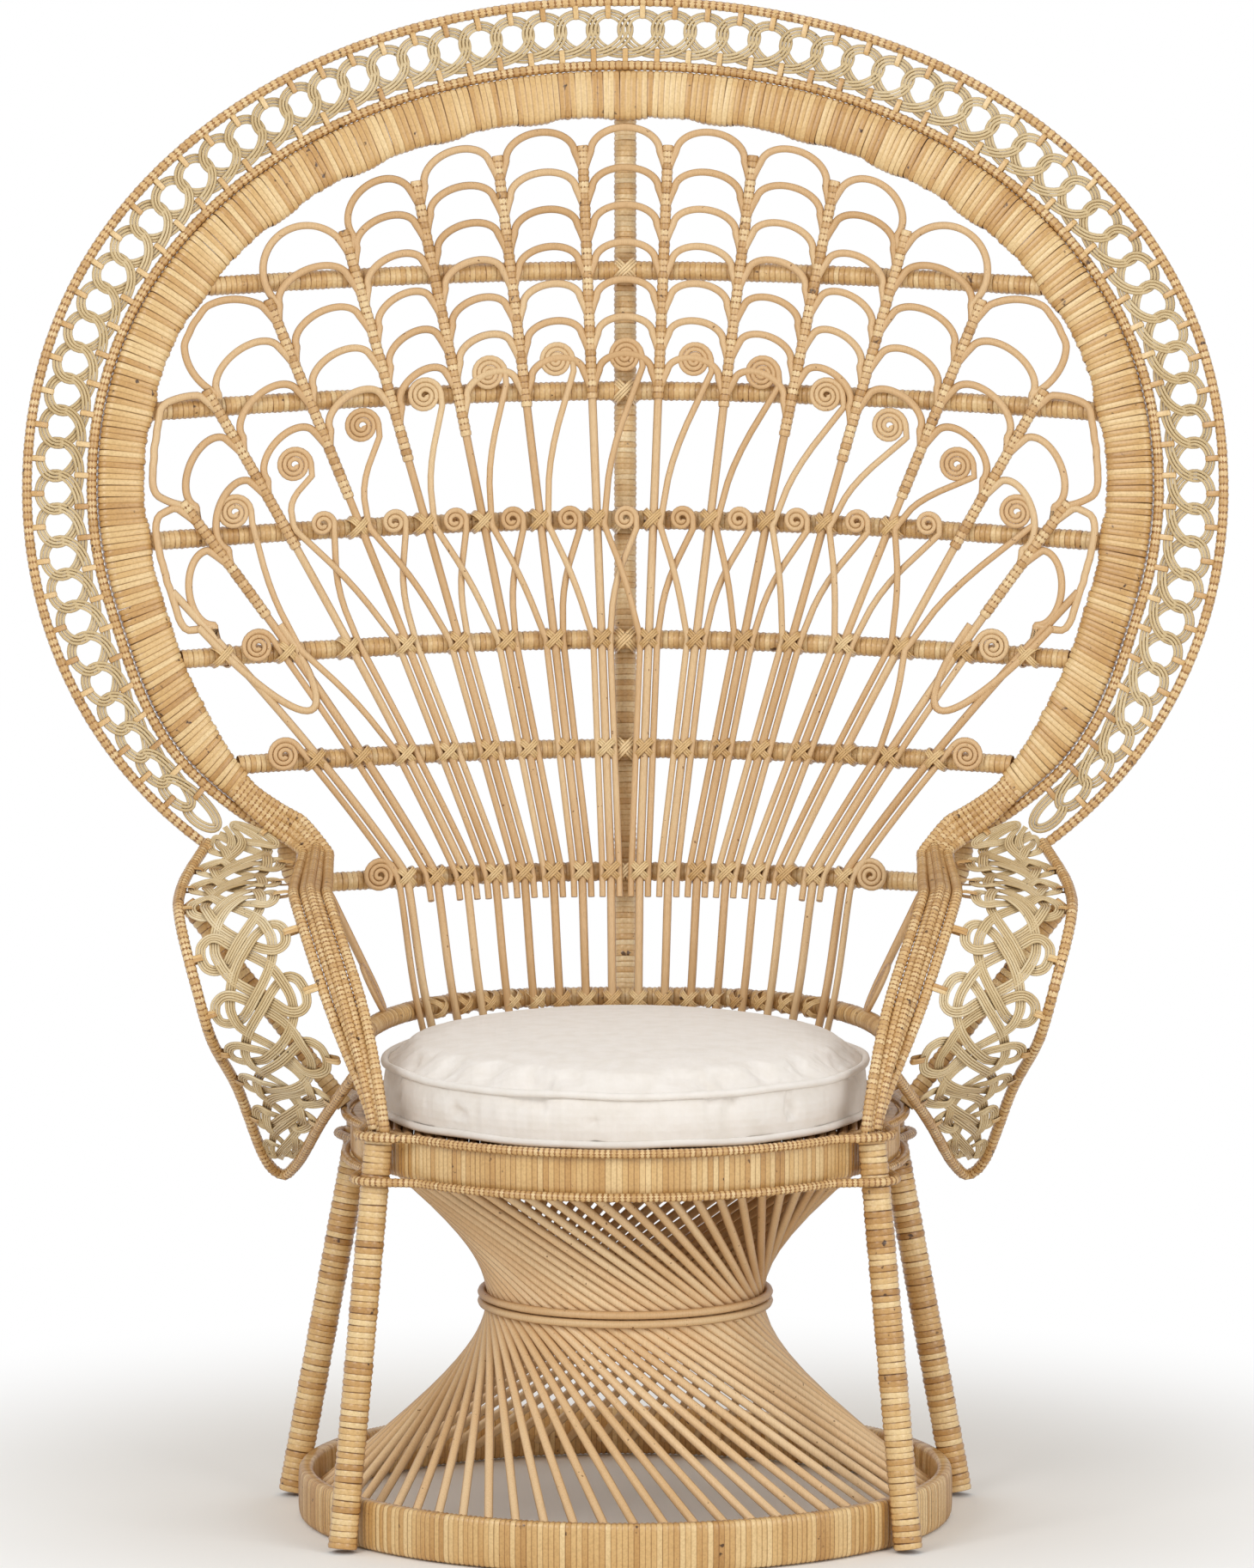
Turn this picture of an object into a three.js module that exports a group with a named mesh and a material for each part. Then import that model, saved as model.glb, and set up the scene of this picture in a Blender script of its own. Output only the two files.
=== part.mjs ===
import * as THREE from 'three';
import { mergeVertices } from 'three/addons/utils/BufferGeometryUtils.js';

// Rattan peacock chair: an hourglass base of straight canes, a round seat with a loose cushion,
// and a tall dished back whose fan of canes, scrolls and scallops is framed by a wrapped hoop,
// an openwork lace border and a thin rim. Millimetres, +Z up, the sitter looks along -Y.

// Fits
const clearance = 0.3;
const layerGap = 0.75;
const laceGap = 0.9;

// Base ring and legs
const baseRadius = 309;
const baseBandWidth = 15;
const baseBandHeight = 47;
const legRadius = 14;
const frontFootAngle = 53;
const frontTopAngle = 57;
const rearFootAngle = 106;
const rearTopAngle = 116;

// Hourglass of straight canes
const baseCaneCount = 60;
const waistRadius = 127;
const waistHeight = 208;
const waistBandHeight = 22;
const baseCaneDepth = 8;
const baseCaneShare = 0.9;
const baseCaneSlope = 1.4;
const waistHoopRod = 4;

// Seat
const apronRadius = 259;
const apronThickness = 14;
const apronBottom = 345;
const apronTop = 386;
const seatTrimRod = 4.5;
const seatTrimSpan = 55;
const trimLegGap = 1.4;
const seatFrameWidth = 20;
const seatFrameHeight = 14;
const deckThickness = 12;

// Loose cushion
const cushionInset = 30;
const cushionRadius = apronRadius - cushionInset;
const cushionEdge = 46;
const cushionCrown = 24;
const cushionDraw = 6;
const cushionPiping = 4;
const cushionForward = 22;

// Dished, leaning back
const backInset = 24;
const backY = apronRadius - backInset;
const backZ = 470;
const backLean = 11;
const dishRound = 56;
const dishFlare = 0.3;

// Outline of the back: a superellipse crown over two circular shoulders
const rimHalfWidth = 575;
const rimWideZ = 950;
const crownRise = 454;
const crownPower = 2.15;
const shoulderWidthShare = 0.7443;
const shoulderRadius = rimHalfWidth * shoulderWidthShare;
const shoulderAngle = 66;
const rimEndAngle = 53;
const crownShare = 0.63;

// Hoop, trim, lace and rim, measured inward from the outline
const rimRod = 5;
const laceWidth = 49;
const laceDrawIn = 18;
const laceReed = 9;
const laceReedThickness = 3;
const laceCount = 54;
const hoopTrimRod = 5.2;
const hoopBandWidth = 45;
const hoopBandEnd = 9;
const hoopBandFront = 15;
const hoopSteps = 56;

// Rails and centre post
const railRod = 9.5;
const railHeights = [1144, 1030, 908, 795, 692, 576];
const railBow = 16.3;
const seatRailZ = 458;
const seatRailInset = 9;
const seatRailHalf = apronRadius - seatRailInset;
const seatRailFrontY = -125;
const seatRailFront = 2;
const seatRailBackY = backY - seatRailFront;
const seatRailPower = 2.8;
const seatRailSag = 1.15;
const centerPostRod = 11;

// Fan of stalks: straight rays from a focus below the seat, the outer ones bent outward
const stalksPerSide = 8;
const fanPitchShare = 0.0761;
const fanFootShare = 0.1;
const fanFocusDrop = 346;
const fanBend = 4.77e-5;
const fanBendFrom = 3.5;
const stalkFootRod = 4;
const stalkBundleRod = 7;
const stalkRod = 5;
const stalkFootLength = 18;
const bundleTail = 24;
const stemDrop = 17;
const squareShare = 0.9;
const tailStep = 0.5;
const branchRoom = 12;
const stemRoom = 20;

// Scallop arches and scrolls of the fan
const archRod = 3.5;
const archGap = 4;
const archRise = 23;
const archPitch = 32;
const archRows = [7, 7, 7, 6, 5, 4, 3, 2];
const scrollRod = 3;
const coilGap = 1.2;
const scrollLean = 14;
const scrollRadius = 18;
const scrollRowZ = 1062;
const scrollRowDrop = 3.9;
const scrollRootRise = 24;
const smallScrollRadius = 13.5;
const smallScrollRise = 16;
const endScrollRadius = 17;
const endScrollGap = 2;

// Arms
const armRod = 8;
const armTopZ = 590;
const armFrontY = 20;
const armOutset = 30;
const armHalfGap = apronRadius + armOutset;
const armNoseReach = 60;
const armDropShare = 0.2;
const wingWidth = 124;
const wingRod = 5.5;
const wingBulge = 6;
const wingCrestY = 65;
const wingCrestDrop = 2;
const wingBendY = -5;
const wingBendDrop = 22;
const wingNoseY = -45;
const wingNoseDraw = 12;
const wingFoldY = -23;
const wingFoldZ = 457;
const wingTipOutset = 67;
const wingTipX = apronRadius + wingTipOutset;
const wingTipY = 130;
const wingTipZ = 302;
const wingTipTurn = 12;
const wingTipRise = 11;
const wingJointZ = 441;
const wingReturnShare = 0.55;
const wingGap = 1.1;
const weaveRimGap = 2.8;
const weaveArmGap = 8;
const wingReed = 10;
const wingReedThickness = 3.5;
const wingWaves = 7;
const braceRod = 9;
const braceTopY = 32;
const braceTopDrop = 8;
const braceFootY = -4;
const armScrollRadius = 27;
const armScrollTopRadius = 19;
const armScrollRod = 4;
const armScrollY = 90;

const rattan = new THREE.MeshStandardMaterial({ color: 0xd9b277, roughness: 0.55, metalness: 0 });
const peeledCane = new THREE.MeshStandardMaterial({ color: 0xe0bf8d, roughness: 0.6, metalness: 0 });
const laceCane = new THREE.MeshStandardMaterial({ color: 0xcdb988, roughness: 0.6, metalness: 0 });
const linen = new THREE.MeshStandardMaterial({ color: 0xece5da, roughness: 0.95, metalness: 0 });

const chair = new THREE.Group();
const radians = THREE.MathUtils.degToRad;
const lerp = THREE.MathUtils.lerp;
const smoothstep = THREE.MathUtils.smoothstep;

function vec(x, y, z) {
  return new THREE.Vector3(x, y, z);
}

// A route is a curve given by a formula of t from 0 to 1.
class Route extends THREE.Curve {
  constructor(formula) {
    super();
    this.formula = formula;
  }

  getPoint(t, target = new THREE.Vector3()) {
    return target.copy(this.formula(t));
  }
}

function polygon(radius, sides) {
  const points = [];
  for (let i = 0; i < sides; i += 1) {
    const angle = (2 * Math.PI * i) / sides;
    points.push(new THREE.Vector2(radius * Math.cos(angle), radius * Math.sin(angle)));
  }
  return new THREE.Shape(points);
}

function rod(route, radius, steps, sides) {
  return new THREE.ExtrudeGeometry(polygon(radius, sides), { steps, bevelEnabled: false, extrudePath: route });
}

// Joins rings of points into a closed skin, round a loop or with two flat ends.
function loft(rings, loop = false) {
  const count = rings[0].length;
  const total = rings.length;
  const index = [];
  for (let i = 0; i < (loop ? total : total - 1); i += 1) {
    for (let j = 0; j < count; j += 1) {
      const a = i * count + j;
      const b = i * count + ((j + 1) % count);
      const c = ((i + 1) % total) * count + j;
      const d = ((i + 1) % total) * count + ((j + 1) % count);
      index.push(a, b, d, a, d, c);
    }
  }
  if (!loop) {
    const end = (total - 1) * count;
    for (let j = 1; j < count - 1; j += 1) {
      index.push(0, j + 1, j, end, end + j, end + j + 1);
    }
  }
  const geometry = new THREE.BufferGeometry();
  const flat = rings.flat().flatMap((point) => [point.x, point.y, point.z]);
  geometry.setAttribute('position', new THREE.Float32BufferAttribute(flat, 3));
  geometry.setIndex(index);
  return geometry;
}

// Shared corners, and faces turned outward.
function closed(geometry) {
  const bare = geometry.clone();
  bare.deleteAttribute('normal');
  bare.deleteAttribute('uv');
  const merged = mergeVertices(bare, 1e-4);
  const p = merged.attributes.position;
  const index = Array.from(merged.index.array);
  const a = vec(0, 0, 0);
  const b = vec(0, 0, 0);
  const c = vec(0, 0, 0);
  let volume = 0;
  for (let i = 0; i < index.length; i += 3) {
    a.fromBufferAttribute(p, index[i]);
    b.fromBufferAttribute(p, index[i + 1]);
    c.fromBufferAttribute(p, index[i + 2]);
    volume += a.dot(b.cross(c));
  }
  if (volume < 0) {
    index.reverse();
  }
  merged.setIndex(index);
  return merged;
}

function add(name, geometry, material) {
  const skin = closed(geometry);
  skin.computeVertexNormals();
  const mesh = new THREE.Mesh(skin, material.clone());
  mesh.name = name;
  chair.add(mesh);
}

// Least distance from a point to a sampled route.
function samples(route, count = 160) {
  return route.getPoints(count);
}

function distanceTo(points, p) {
  let least = Infinity;
  const segment = new THREE.Line3();
  const near = new THREE.Vector3();
  for (let i = 0; i < points.length - 1; i += 1) {
    segment.set(points[i], points[i + 1]).closestPointToPoint(p, true, near);
    least = Math.min(least, near.distanceTo(p));
  }
  return least;
}

// Corners of a round end at a point, square to a direction.
function endRing(center, direction, radius) {
  const side = Math.abs(direction.z) > 0.9 ? vec(1, 0, 0) : vec(0, 0, 1);
  const across = side.clone().cross(direction).normalize();
  const up = direction.clone().cross(across).normalize();
  const ring = [center];
  for (let i = 0; i < 12; i += 1) {
    const angle = (Math.PI * i) / 6;
    const corner = center.clone().addScaledVector(across, radius * Math.cos(angle));
    ring.push(corner.addScaledVector(up, radius * Math.sin(angle)));
  }
  return ring;
}

// Largest t, from a clear start toward a stop, at which a rod's end still keeps the clearance.
function reach(formula, start, stop, radius, isClear) {
  let low = start;
  let high = stop;
  for (let i = 0; i < 40; i += 1) {
    const middle = (low + high) / 2;
    const ahead = formula(middle + (stop - start) * 1e-4);
    const direction = ahead.sub(formula(middle)).normalize();
    const clear = endRing(formula(middle), direction, radius).every(isClear);
    low = clear ? middle : low;
    high = clear ? high : middle;
  }
  return low;
}

// Base: the wrapped ring on the floor
const ringSides = 48;

function bandRing(outer, width, bottom, top) {
  const round = Math.min(width, top - bottom) * 0.25;
  const profile = [
    new THREE.Vector2(outer - width, bottom),
    new THREE.Vector2(outer - round, bottom),
    new THREE.Vector2(outer, bottom + round),
    new THREE.Vector2(outer, top - round),
    new THREE.Vector2(outer - round, top),
    new THREE.Vector2(outer - width, top),
    new THREE.Vector2(outer - width, bottom),
  ];
  const geometry = new THREE.LatheGeometry(profile, ringSides);
  geometry.rotateX(Math.PI / 2);
  return geometry;
}

add('base_ring', bandRing(baseRadius, baseBandWidth, 0, baseBandHeight), rattan);

// Legs stand outside the base ring and lean in to the seat, with flat feet and flat tops.
const legTopRadius = apronRadius + clearance + legRadius;
const legRingRadius = baseRadius + clearance + legRadius;
const legFootRadius = legTopRadius + (legRingRadius - legTopRadius) / (1 - baseBandHeight / apronTop);

function around(radius, angle, z) {
  return vec(radius * Math.sin(radians(angle)), -radius * Math.cos(radians(angle)), z);
}

function legPoint(side, footAngle, topAngle, z) {
  const foot = around(legFootRadius, side * footAngle, 0);
  const top = around(legTopRadius, side * topAngle, apronTop);
  return foot.lerp(top, z / apronTop);
}

function leg(side, footAngle, topAngle) {
  return loft([0, apronTop].map((z) => {
    const center = legPoint(side, footAngle, topAngle, z);
    const turn = Math.atan2(center.y, center.x);
    const ring = [];
    for (let i = 0; i < 8; i += 1) {
      const angle = turn + (Math.PI * i) / 4;
      ring.push(vec(center.x + legRadius * Math.cos(angle), center.y + legRadius * Math.sin(angle), z));
    }
    return ring;
  }));
}

const sides = [[-1, 'left'], [1, 'right']];
for (const [side, word] of sides) {
  add(`front_leg_${word}`, leg(side, frontFootAngle, frontTopAngle), rattan);
  add(`rear_leg_${word}`, leg(side, rearFootAngle, rearTopAngle), rattan);
}

// Hourglass: straight canes cross a waist band at a slant, so their skin is a one-sheet hyperboloid.
// Each cane is a slanted prism that grows from its own stretch of the band's upper and lower faces.
const apronInner = apronRadius - apronThickness;
const baseInner = baseRadius - baseBandWidth;
const deckTop = apronTop;
const frameTop = deckTop - deckThickness - clearance;
const frameBottom = frameTop - seatFrameHeight;
const waistTop = waistHeight + waistBandHeight / 2;
const waistFoot = waistHeight - waistBandHeight / 2;
const waistOuter = waistRadius + baseCaneDepth / 2;
const waistInner = waistRadius - baseCaneDepth / 2;

// Height run of a cane until its outer corner meets a round wall.
function caneRun(wallRadius) {
  const half = (Math.PI * baseCaneShare) / baseCaneCount;
  const edge = waistOuter * Math.sin(half);
  const deep = waistOuter * Math.cos(half);
  return (Math.sqrt((wallRadius - clearance) ** 2 - deep ** 2) - edge) / baseCaneSlope;
}

function hourglass() {
  const index = [];
  const points = [];
  const corner = (radius, angle, z) => {
    points.push(around(radius, angle, z));
    return points.length - 1;
  };
  const quad = (a, b, c, d) => index.push(a, b, c, a, c, d);
  const step = 360 / baseCaneCount;
  const flat = Math.cos(Math.PI / ringSides);
  const upRun = Math.min(frameBottom - clearance - waistTop, caneRun(apronInner * flat));
  const downRun = caneRun(baseInner * flat);
  const rings = [];
  for (let i = 0; i < baseCaneCount; i += 1) {
    const middle = i * step;
    for (const angle of [middle - (step * baseCaneShare) / 2, middle + (step * baseCaneShare) / 2]) {
      rings.push({
        innerFoot: corner(waistInner, angle, waistFoot),
        outerFoot: corner(waistOuter, angle, waistFoot),
        innerTop: corner(waistInner, angle, waistTop),
        outerTop: corner(waistOuter, angle, waistTop),
      });
    }
  }
  rings.forEach((ring, i) => {
    const next = rings[(i + 1) % rings.length];
    quad(ring.outerFoot, next.outerFoot, next.outerTop, ring.outerTop);
    quad(next.innerFoot, ring.innerFoot, ring.innerTop, next.innerTop);
    if (i % 2 === 1) {
      quad(ring.outerTop, next.outerTop, next.innerTop, ring.innerTop);
      quad(next.outerFoot, ring.outerFoot, ring.innerFoot, next.innerFoot);
      return;
    }
    const along = around(1, (i / 2) * step + 90, 0);
    const up = along.clone().multiplyScalar(-baseCaneSlope * upRun).setZ(upRun);
    const down = along.clone().multiplyScalar(baseCaneSlope * downRun).setZ(-downRun);
    const roots = [
      [[ring.outerTop, next.outerTop, next.innerTop, ring.innerTop], up],
      [[next.outerFoot, ring.outerFoot, ring.innerFoot, next.innerFoot], down],
    ];
    for (const [root, shift] of roots) {
      const tip = root.map((k) => points.push(points[k].clone().add(shift)) - 1);
      for (let j = 0; j < 4; j += 1) {
        const k = (j + 1) % 4;
        quad(root[j], root[k], tip[k], tip[j]);
      }
      quad(...tip);
    }
  });
  const geometry = new THREE.BufferGeometry();
  const list = points.flatMap((point) => [point.x, point.y, point.z]);
  geometry.setAttribute('position', new THREE.Float32BufferAttribute(list, 3));
  geometry.setIndex(index);
  return geometry;
}

add('hourglass_canes', hourglass(), peeledCane);

for (const [offset, word] of [[1, 'upper'], [-1, 'lower']]) {
  const hoopRadius = (waistOuter + clearance + waistHoopRod) / Math.cos(Math.PI / 36);
  const hoop = new THREE.TorusGeometry(hoopRadius, waistHoopRod, 4, 36);
  hoop.translate(0, 0, waistHeight + offset * (waistHoopRod + clearance));
  add(`waist_hoop_${word}`, hoop, peeledCane);
}

// Seat: wrapped apron, inner frame hoop, woven deck and two trim rods that pass round the legs
add('seat_apron', bandRing(apronRadius, apronThickness, apronBottom, apronTop), rattan);

const frameOuter = apronInner * Math.cos(Math.PI / ringSides) - clearance;
const frame = new THREE.LatheGeometry([
  new THREE.Vector2(frameOuter - seatFrameWidth, frameBottom),
  new THREE.Vector2(frameOuter, frameBottom),
  new THREE.Vector2(frameOuter, frameTop),
  new THREE.Vector2(frameOuter - seatFrameWidth, frameTop),
  new THREE.Vector2(frameOuter - seatFrameWidth, frameBottom),
], 40);
frame.rotateX(Math.PI / 2);
add('seat_frame', frame, rattan);

const deck = new THREE.CylinderGeometry(frameOuter, frameOuter, deckThickness, 40);
deck.rotateX(Math.PI / 2);
deck.translate(0, 0, deckTop - deckThickness / 2);
add('seat_deck', deck, peeledCane);

function seatTrim(z, legGap) {
  const near = apronRadius + clearance + seatTrimRod;
  const bumps = [];
  for (const [foot, top] of [[frontFootAngle, frontTopAngle], [rearFootAngle, rearTopAngle]]) {
    for (const side of [-1, 1]) {
      const center = legPoint(side, foot, top, z);
      const legAway = Math.hypot(center.x, center.y);
      const far = legAway + legRadius + seatTrimRod + legGap;
      const angle = THREE.MathUtils.radToDeg(Math.atan2(center.x, -center.y));
      bumps.push({ angle, rise: far - near, span: THREE.MathUtils.radToDeg(seatTrimSpan / legAway) });
    }
  }
  const angles = [];
  for (let angle = -180; angle < 180; angle += 12) {
    if (bumps.every((bump) => Math.abs(angle - bump.angle) > bump.span + 3)) {
      angles.push(angle);
    }
  }
  for (const bump of bumps) {
    for (let k = -3; k <= 3; k += 1) {
      angles.push(bump.angle + (bump.span * k) / 3);
    }
  }
  angles.sort((a, b) => a - b);
  return loft(angles.map((angle) => {
    let radius = near;
    for (const bump of bumps) {
      const away = Math.min(1, Math.abs(angle - bump.angle) / bump.span);
      radius += (bump.rise * (1 + Math.cos(Math.PI * away))) / 2;
    }
    const ring = [];
    for (let i = 0; i < 4; i += 1) {
      const turn = (Math.PI * i) / 2;
      ring.push(around(radius + seatTrimRod * Math.cos(turn), angle, z + seatTrimRod * Math.sin(turn)));
    }
    return ring;
  }), true);
}

add('seat_top_trim', seatTrim(apronTop, 2 * clearance), rattan);
add('seat_bottom_trim', seatTrim(apronBottom, trimLegGap), rattan);

// Cushion: a crowned top, sides drawn in between the two piped seams
const cushionBottom = deckTop + clearance;
const cushionProfile = [
  [0, 0],
  [cushionRadius * 0.86, 0],
  [cushionRadius - cushionPiping, cushionPiping * 0.5],
  [cushionRadius, cushionPiping * 1.5],
  [cushionRadius - cushionPiping, cushionPiping * 2.5],
  [cushionRadius - cushionDraw, cushionEdge / 2],
  [cushionRadius - cushionPiping, cushionEdge - cushionPiping * 2],
  [cushionRadius, cushionEdge - cushionPiping],
  [cushionRadius - cushionPiping, cushionEdge],
  [cushionRadius * 0.9, cushionEdge + cushionCrown * 0.38],
  [cushionRadius * 0.74, cushionEdge + cushionCrown * 0.72],
  [cushionRadius * 0.4, cushionEdge + cushionCrown * 0.94],
  [0, cushionEdge + cushionCrown],
].map(([x, z]) => new THREE.Vector2(x, z));
const cushion = new THREE.LatheGeometry(cushionProfile, 40);
cushion.rotateX(Math.PI / 2);
cushion.translate(0, -cushionForward, cushionBottom);
add('cushion', cushion, linen);

// The back's surface: it leans back and is dished, with the sides coming forward.
function dish(u) {
  return Math.hypot(dishRound, dishFlare * u) - dishRound;
}

function surface(u, z) {
  return vec(u, backY + (z - backZ) * Math.tan(radians(backLean)) - dish(u), z);
}

// A point of the back lifted toward the sitter along the surface's normal.
function onBack(u, z, lift = 0) {
  const turn = (-dishFlare * dishFlare * u) / Math.hypot(dishRound, dishFlare * u);
  const normal = vec(turn, -1, Math.tan(radians(backLean)));
  return surface(u, z).addScaledVector(normal.normalize(), lift);
}

// Outline of the back: t is 0 at the crown and -1 and 1 at the left and right shoulder ends.
function outline(t) {
  const s = Math.abs(t);
  const side = t < 0 ? -1 : 1;
  if (s <= crownShare) {
    const angle = (s / crownShare) * (Math.PI / 2);
    const u = rimHalfWidth * Math.sin(angle) ** (2 / crownPower);
    return new THREE.Vector2(side * u, rimWideZ + crownRise * Math.max(0, Math.cos(angle)) ** (2 / crownPower));
  }
  const angle = radians(((s - crownShare) / (1 - crownShare)) * shoulderAngle);
  const u = rimHalfWidth - shoulderRadius + shoulderRadius * Math.cos(angle);
  return new THREE.Vector2(side * u, rimWideZ - shoulderRadius * Math.sin(angle));
}

function inward(t) {
  const along = outline(t + 1e-3).sub(outline(t - 1e-3)).normalize();
  return new THREE.Vector2(along.y, -along.x);
}

function insetPoint(t, inset) {
  return outline(t).addScaledVector(inward(t), inset);
}

function shoulderShare(t) {
  return Math.max(0, (Math.abs(t) - crownShare) / (1 - crownShare));
}

// Insets of the lace's inner edge, the trim's middle and the band's two edges.
function laceEdge(t) {
  const angle = shoulderShare(t) * shoulderAngle;
  return 2 * rimRod + laceGap + laceWidth - laceDrawIn * smoothstep(angle, 18, 46);
}

function trimMiddle(t) {
  return laceEdge(t) + 0.75 * laceGap + hoopTrimRod;
}

function bandOuter(t) {
  return trimMiddle(t) + hoopTrimRod + clearance;
}

function bandInner(t) {
  const angle = shoulderShare(t) * shoulderAngle;
  return bandOuter(t) + lerp(hoopBandWidth, hoopBandEnd, smoothstep(angle, 36, shoulderAngle + 2));
}

const hoopBandBack = railRod;
const borderLift = (hoopBandFront - hoopBandBack) / 2;
const rimEnd = crownShare + (1 - crownShare) * (rimEndAngle / shoulderAngle);

// Sweeps a section of (inset, lift) corners along the outline.
function sweepHoop(section, end) {
  const rings = [];
  for (let i = 0; i <= hoopSteps; i += 1) {
    const t = -1 + (2 * i) / hoopSteps;
    if (Math.abs(t) < end - 0.2 / hoopSteps) {
      rings.push(t);
    }
  }
  return loft([-end, ...rings, end].map((t) => section(t).map(([inset, lift]) => {
    const p = insetPoint(t, inset);
    return onBack(p.x, p.y, lift);
  })));
}

function roundSection(middle, radius, count) {
  return (t) => Array.from({ length: count }, (unused, i) => {
    const angle = (2 * Math.PI * i) / count;
    return [middle(t) + radius * Math.cos(angle), borderLift + radius * Math.sin(angle)];
  });
}

add('back_hoop', sweepHoop((t) => [
  [bandOuter(t), -hoopBandBack],
  [bandInner(t), -hoopBandBack],
  [bandInner(t), hoopBandFront],
  [bandOuter(t), hoopBandFront],
], 1), rattan);
add('hoop_trim', sweepHoop(roundSection(trimMiddle, hoopTrimRod, 4), 1), rattan);
add('outer_rim', sweepHoop(roundSection(() => rimRod, rimRod, 4), rimEnd), rattan);

// Lace: one flat reed that waves between the rim and the trim, touching each in turn
function lace() {
  const perCycle = 4;
  const count = laceCount * perCycle;
  const span = 2 * rimEnd - 0.02;
  const spine = new Route((s) => {
    const p = insetPoint((s - 0.5) * span, 2 * rimRod + laceWidth / 2);
    return vec(p.x, 0, p.y);
  });
  const length = spine.getLength();
  const place = (i) => {
    const t = (spine.getUtoTmapping(i / count) - 0.5) * span;
    const outer = 2 * rimRod + laceGap + laceReed / 2;
    const inner = laceEdge(t) - laceReed / 2;
    const phase = Math.cos((2 * Math.PI * i) / perCycle);
    return { t, inset: (outer + inner) / 2 - (phase * (inner - outer)) / 2, reachOut: inner - outer };
  };
  const perStep = length / count;
  const rings = [];
  for (let i = 0; i <= count; i += 1) {
    const here = place(i);
    const slope = (here.reachOut * Math.PI * Math.sin((2 * Math.PI * i) / perCycle)) / perCycle;
    const across = new THREE.Vector2(-slope, perStep).normalize().multiplyScalar(laceReed / 2);
    const perT = length / span;
    const corner = (sign, lift) => {
      const p = insetPoint(here.t + (sign * across.x) / perT, here.inset + sign * across.y);
      return onBack(p.x, p.y, borderLift + (lift * laceReedThickness) / 2);
    };
    rings.push([corner(-1, -1), corner(1, -1), corner(1, 1), corner(-1, 1)]);
  }
  return loft(rings);
}

add('lace_border', lace(), laceCane);

// Signed distance of a point of the back from the band's inner edge, positive inside the hoop
const innerEdge = [];
for (let i = 0; i <= 600; i += 1) {
  const t = -1 + i / 300;
  innerEdge.push({ point: insetPoint(t, bandInner(t)), normal: inward(t) });
}

function insideHoop(u, z) {
  let best = innerEdge[0];
  let least = Infinity;
  for (const edge of innerEdge) {
    const away = (edge.point.x - u) ** 2 + (edge.point.y - z) ** 2;
    if (away < least) {
      least = away;
      best = edge;
    }
  }
  const across = (u - best.point.x) * best.normal.x + (z - best.point.y) * best.normal.y;
  if (best !== innerEdge[0] && best !== innerEdge[innerEdge.length - 1]) {
    return across;
  }
  const side = Math.sign(best.point.x);
  const beyond = side * ((z - best.point.y) * best.normal.x - (u - best.point.x) * best.normal.y);
  return Math.max(across, beyond);
}

// Arms: two wrapped rods run forward from each shoulder and turn down onto the front leg.
const shoulderOuter = insetPoint(1, trimMiddle(1));
const shoulderInner = insetPoint(1, bandInner(1));

const shoulderMiddle = shoulderOuter.clone().lerp(shoulderInner, 0.5);

function armMiddle() {
  const start = onBack(shoulderMiddle.x, shoulderMiddle.y, hoopBandFront + 3 * clearance + armRod);
  const legTop = legPoint(1, frontFootAngle, frontTopAngle, apronTop).setZ(apronTop + clearance);
  const front = vec(armHalfGap + armRod, armFrontY, armTopZ);
  const lead = vec(front.x, start.y, armTopZ);
  const bend = vec(front.x, armFrontY - armNoseReach, armTopZ);
  const drop = legTop.clone().setZ(lerp(apronTop, armTopZ, armDropShare));
  const first = new THREE.QuadraticBezierCurve3(start, lead.lerp(front, 0.3), front);
  const second = new THREE.CubicBezierCurve3(front, bend, drop, legTop);
  return (t) => (t < 0.4 ? first.getPoint(t / 0.4) : second.getPoint((t - 0.4) / 0.6));
}

// The two rods lie side by side along the middle of the arm and twist a little onto the leg.
function armRoute(side, outer) {
  const middle = armMiddle();
  const offset = (outer ? 1 : -1) * (armRod + clearance);
  const tangent = around(1, frontTopAngle + 90, 0);
  return new Route((t) => {
    const p = middle(t);
    const along = middle(Math.min(1, t + 1e-3)).sub(middle(Math.max(0, t - 1e-3))).normalize();
    const across = vec(1, 0, 0).lerp(tangent, smoothstep(t, 0.5, 1));
    across.addScaledVector(along, -across.dot(along)).normalize();
    p.addScaledVector(across, offset);
    p.x *= side;
    return p;
  });
}

const armPaths = {};
for (const [side, word] of sides) {
  for (const outer of [true, false]) {
    const route = armRoute(side, outer);
    armPaths[`${word}${outer}`] = samples(route);
    add(`arm_rod_${outer ? 'outer' : 'inner'}_${word}`, rod(route, armRod, 14, 5), rattan);
  }
}

// Rails: wrapped rods across the back, bowed upward, ending on the hoop or on the arms
function railFormula(height) {
  return (t) => {
    const u = (2 * t - 1) * rimHalfWidth;
    return onBack(u, height - railBow * (u / rimHalfWidth) ** 2);
  };
}

function clearOfArms(p) {
  const word = p.x < 0 ? 'left' : 'right';
  const gaps = [true, false].map((outer) => distanceTo(armPaths[`${word}${outer}`], p));
  return Math.min(...gaps) > armRod + clearance;
}

railHeights.forEach((height, i) => {
  const formula = railFormula(height);
  const isClear = (p) => clearOfArms(p) && insideHoop(p.x, p.z) > 2 * clearance;
  const right = reach(formula, 0.5, 1, railRod, isClear);
  const route = new Route((t) => formula(lerp(1 - right, right, t)));
  add(`back_rail_${i + 1}`, rod(route, railRod, 14, 5), rattan);
});

// Seat rail: a level hoop round the back and sides of the sitter, from arm to arm
const seatRailDepth = seatRailBackY - seatRailFrontY;

function seatRailY(u) {
  const share = Math.min(1, Math.abs(u) / seatRailHalf);
  return seatRailFrontY + seatRailDepth * (1 - share ** seatRailPower) ** (1 / seatRailPower);
}

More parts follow.
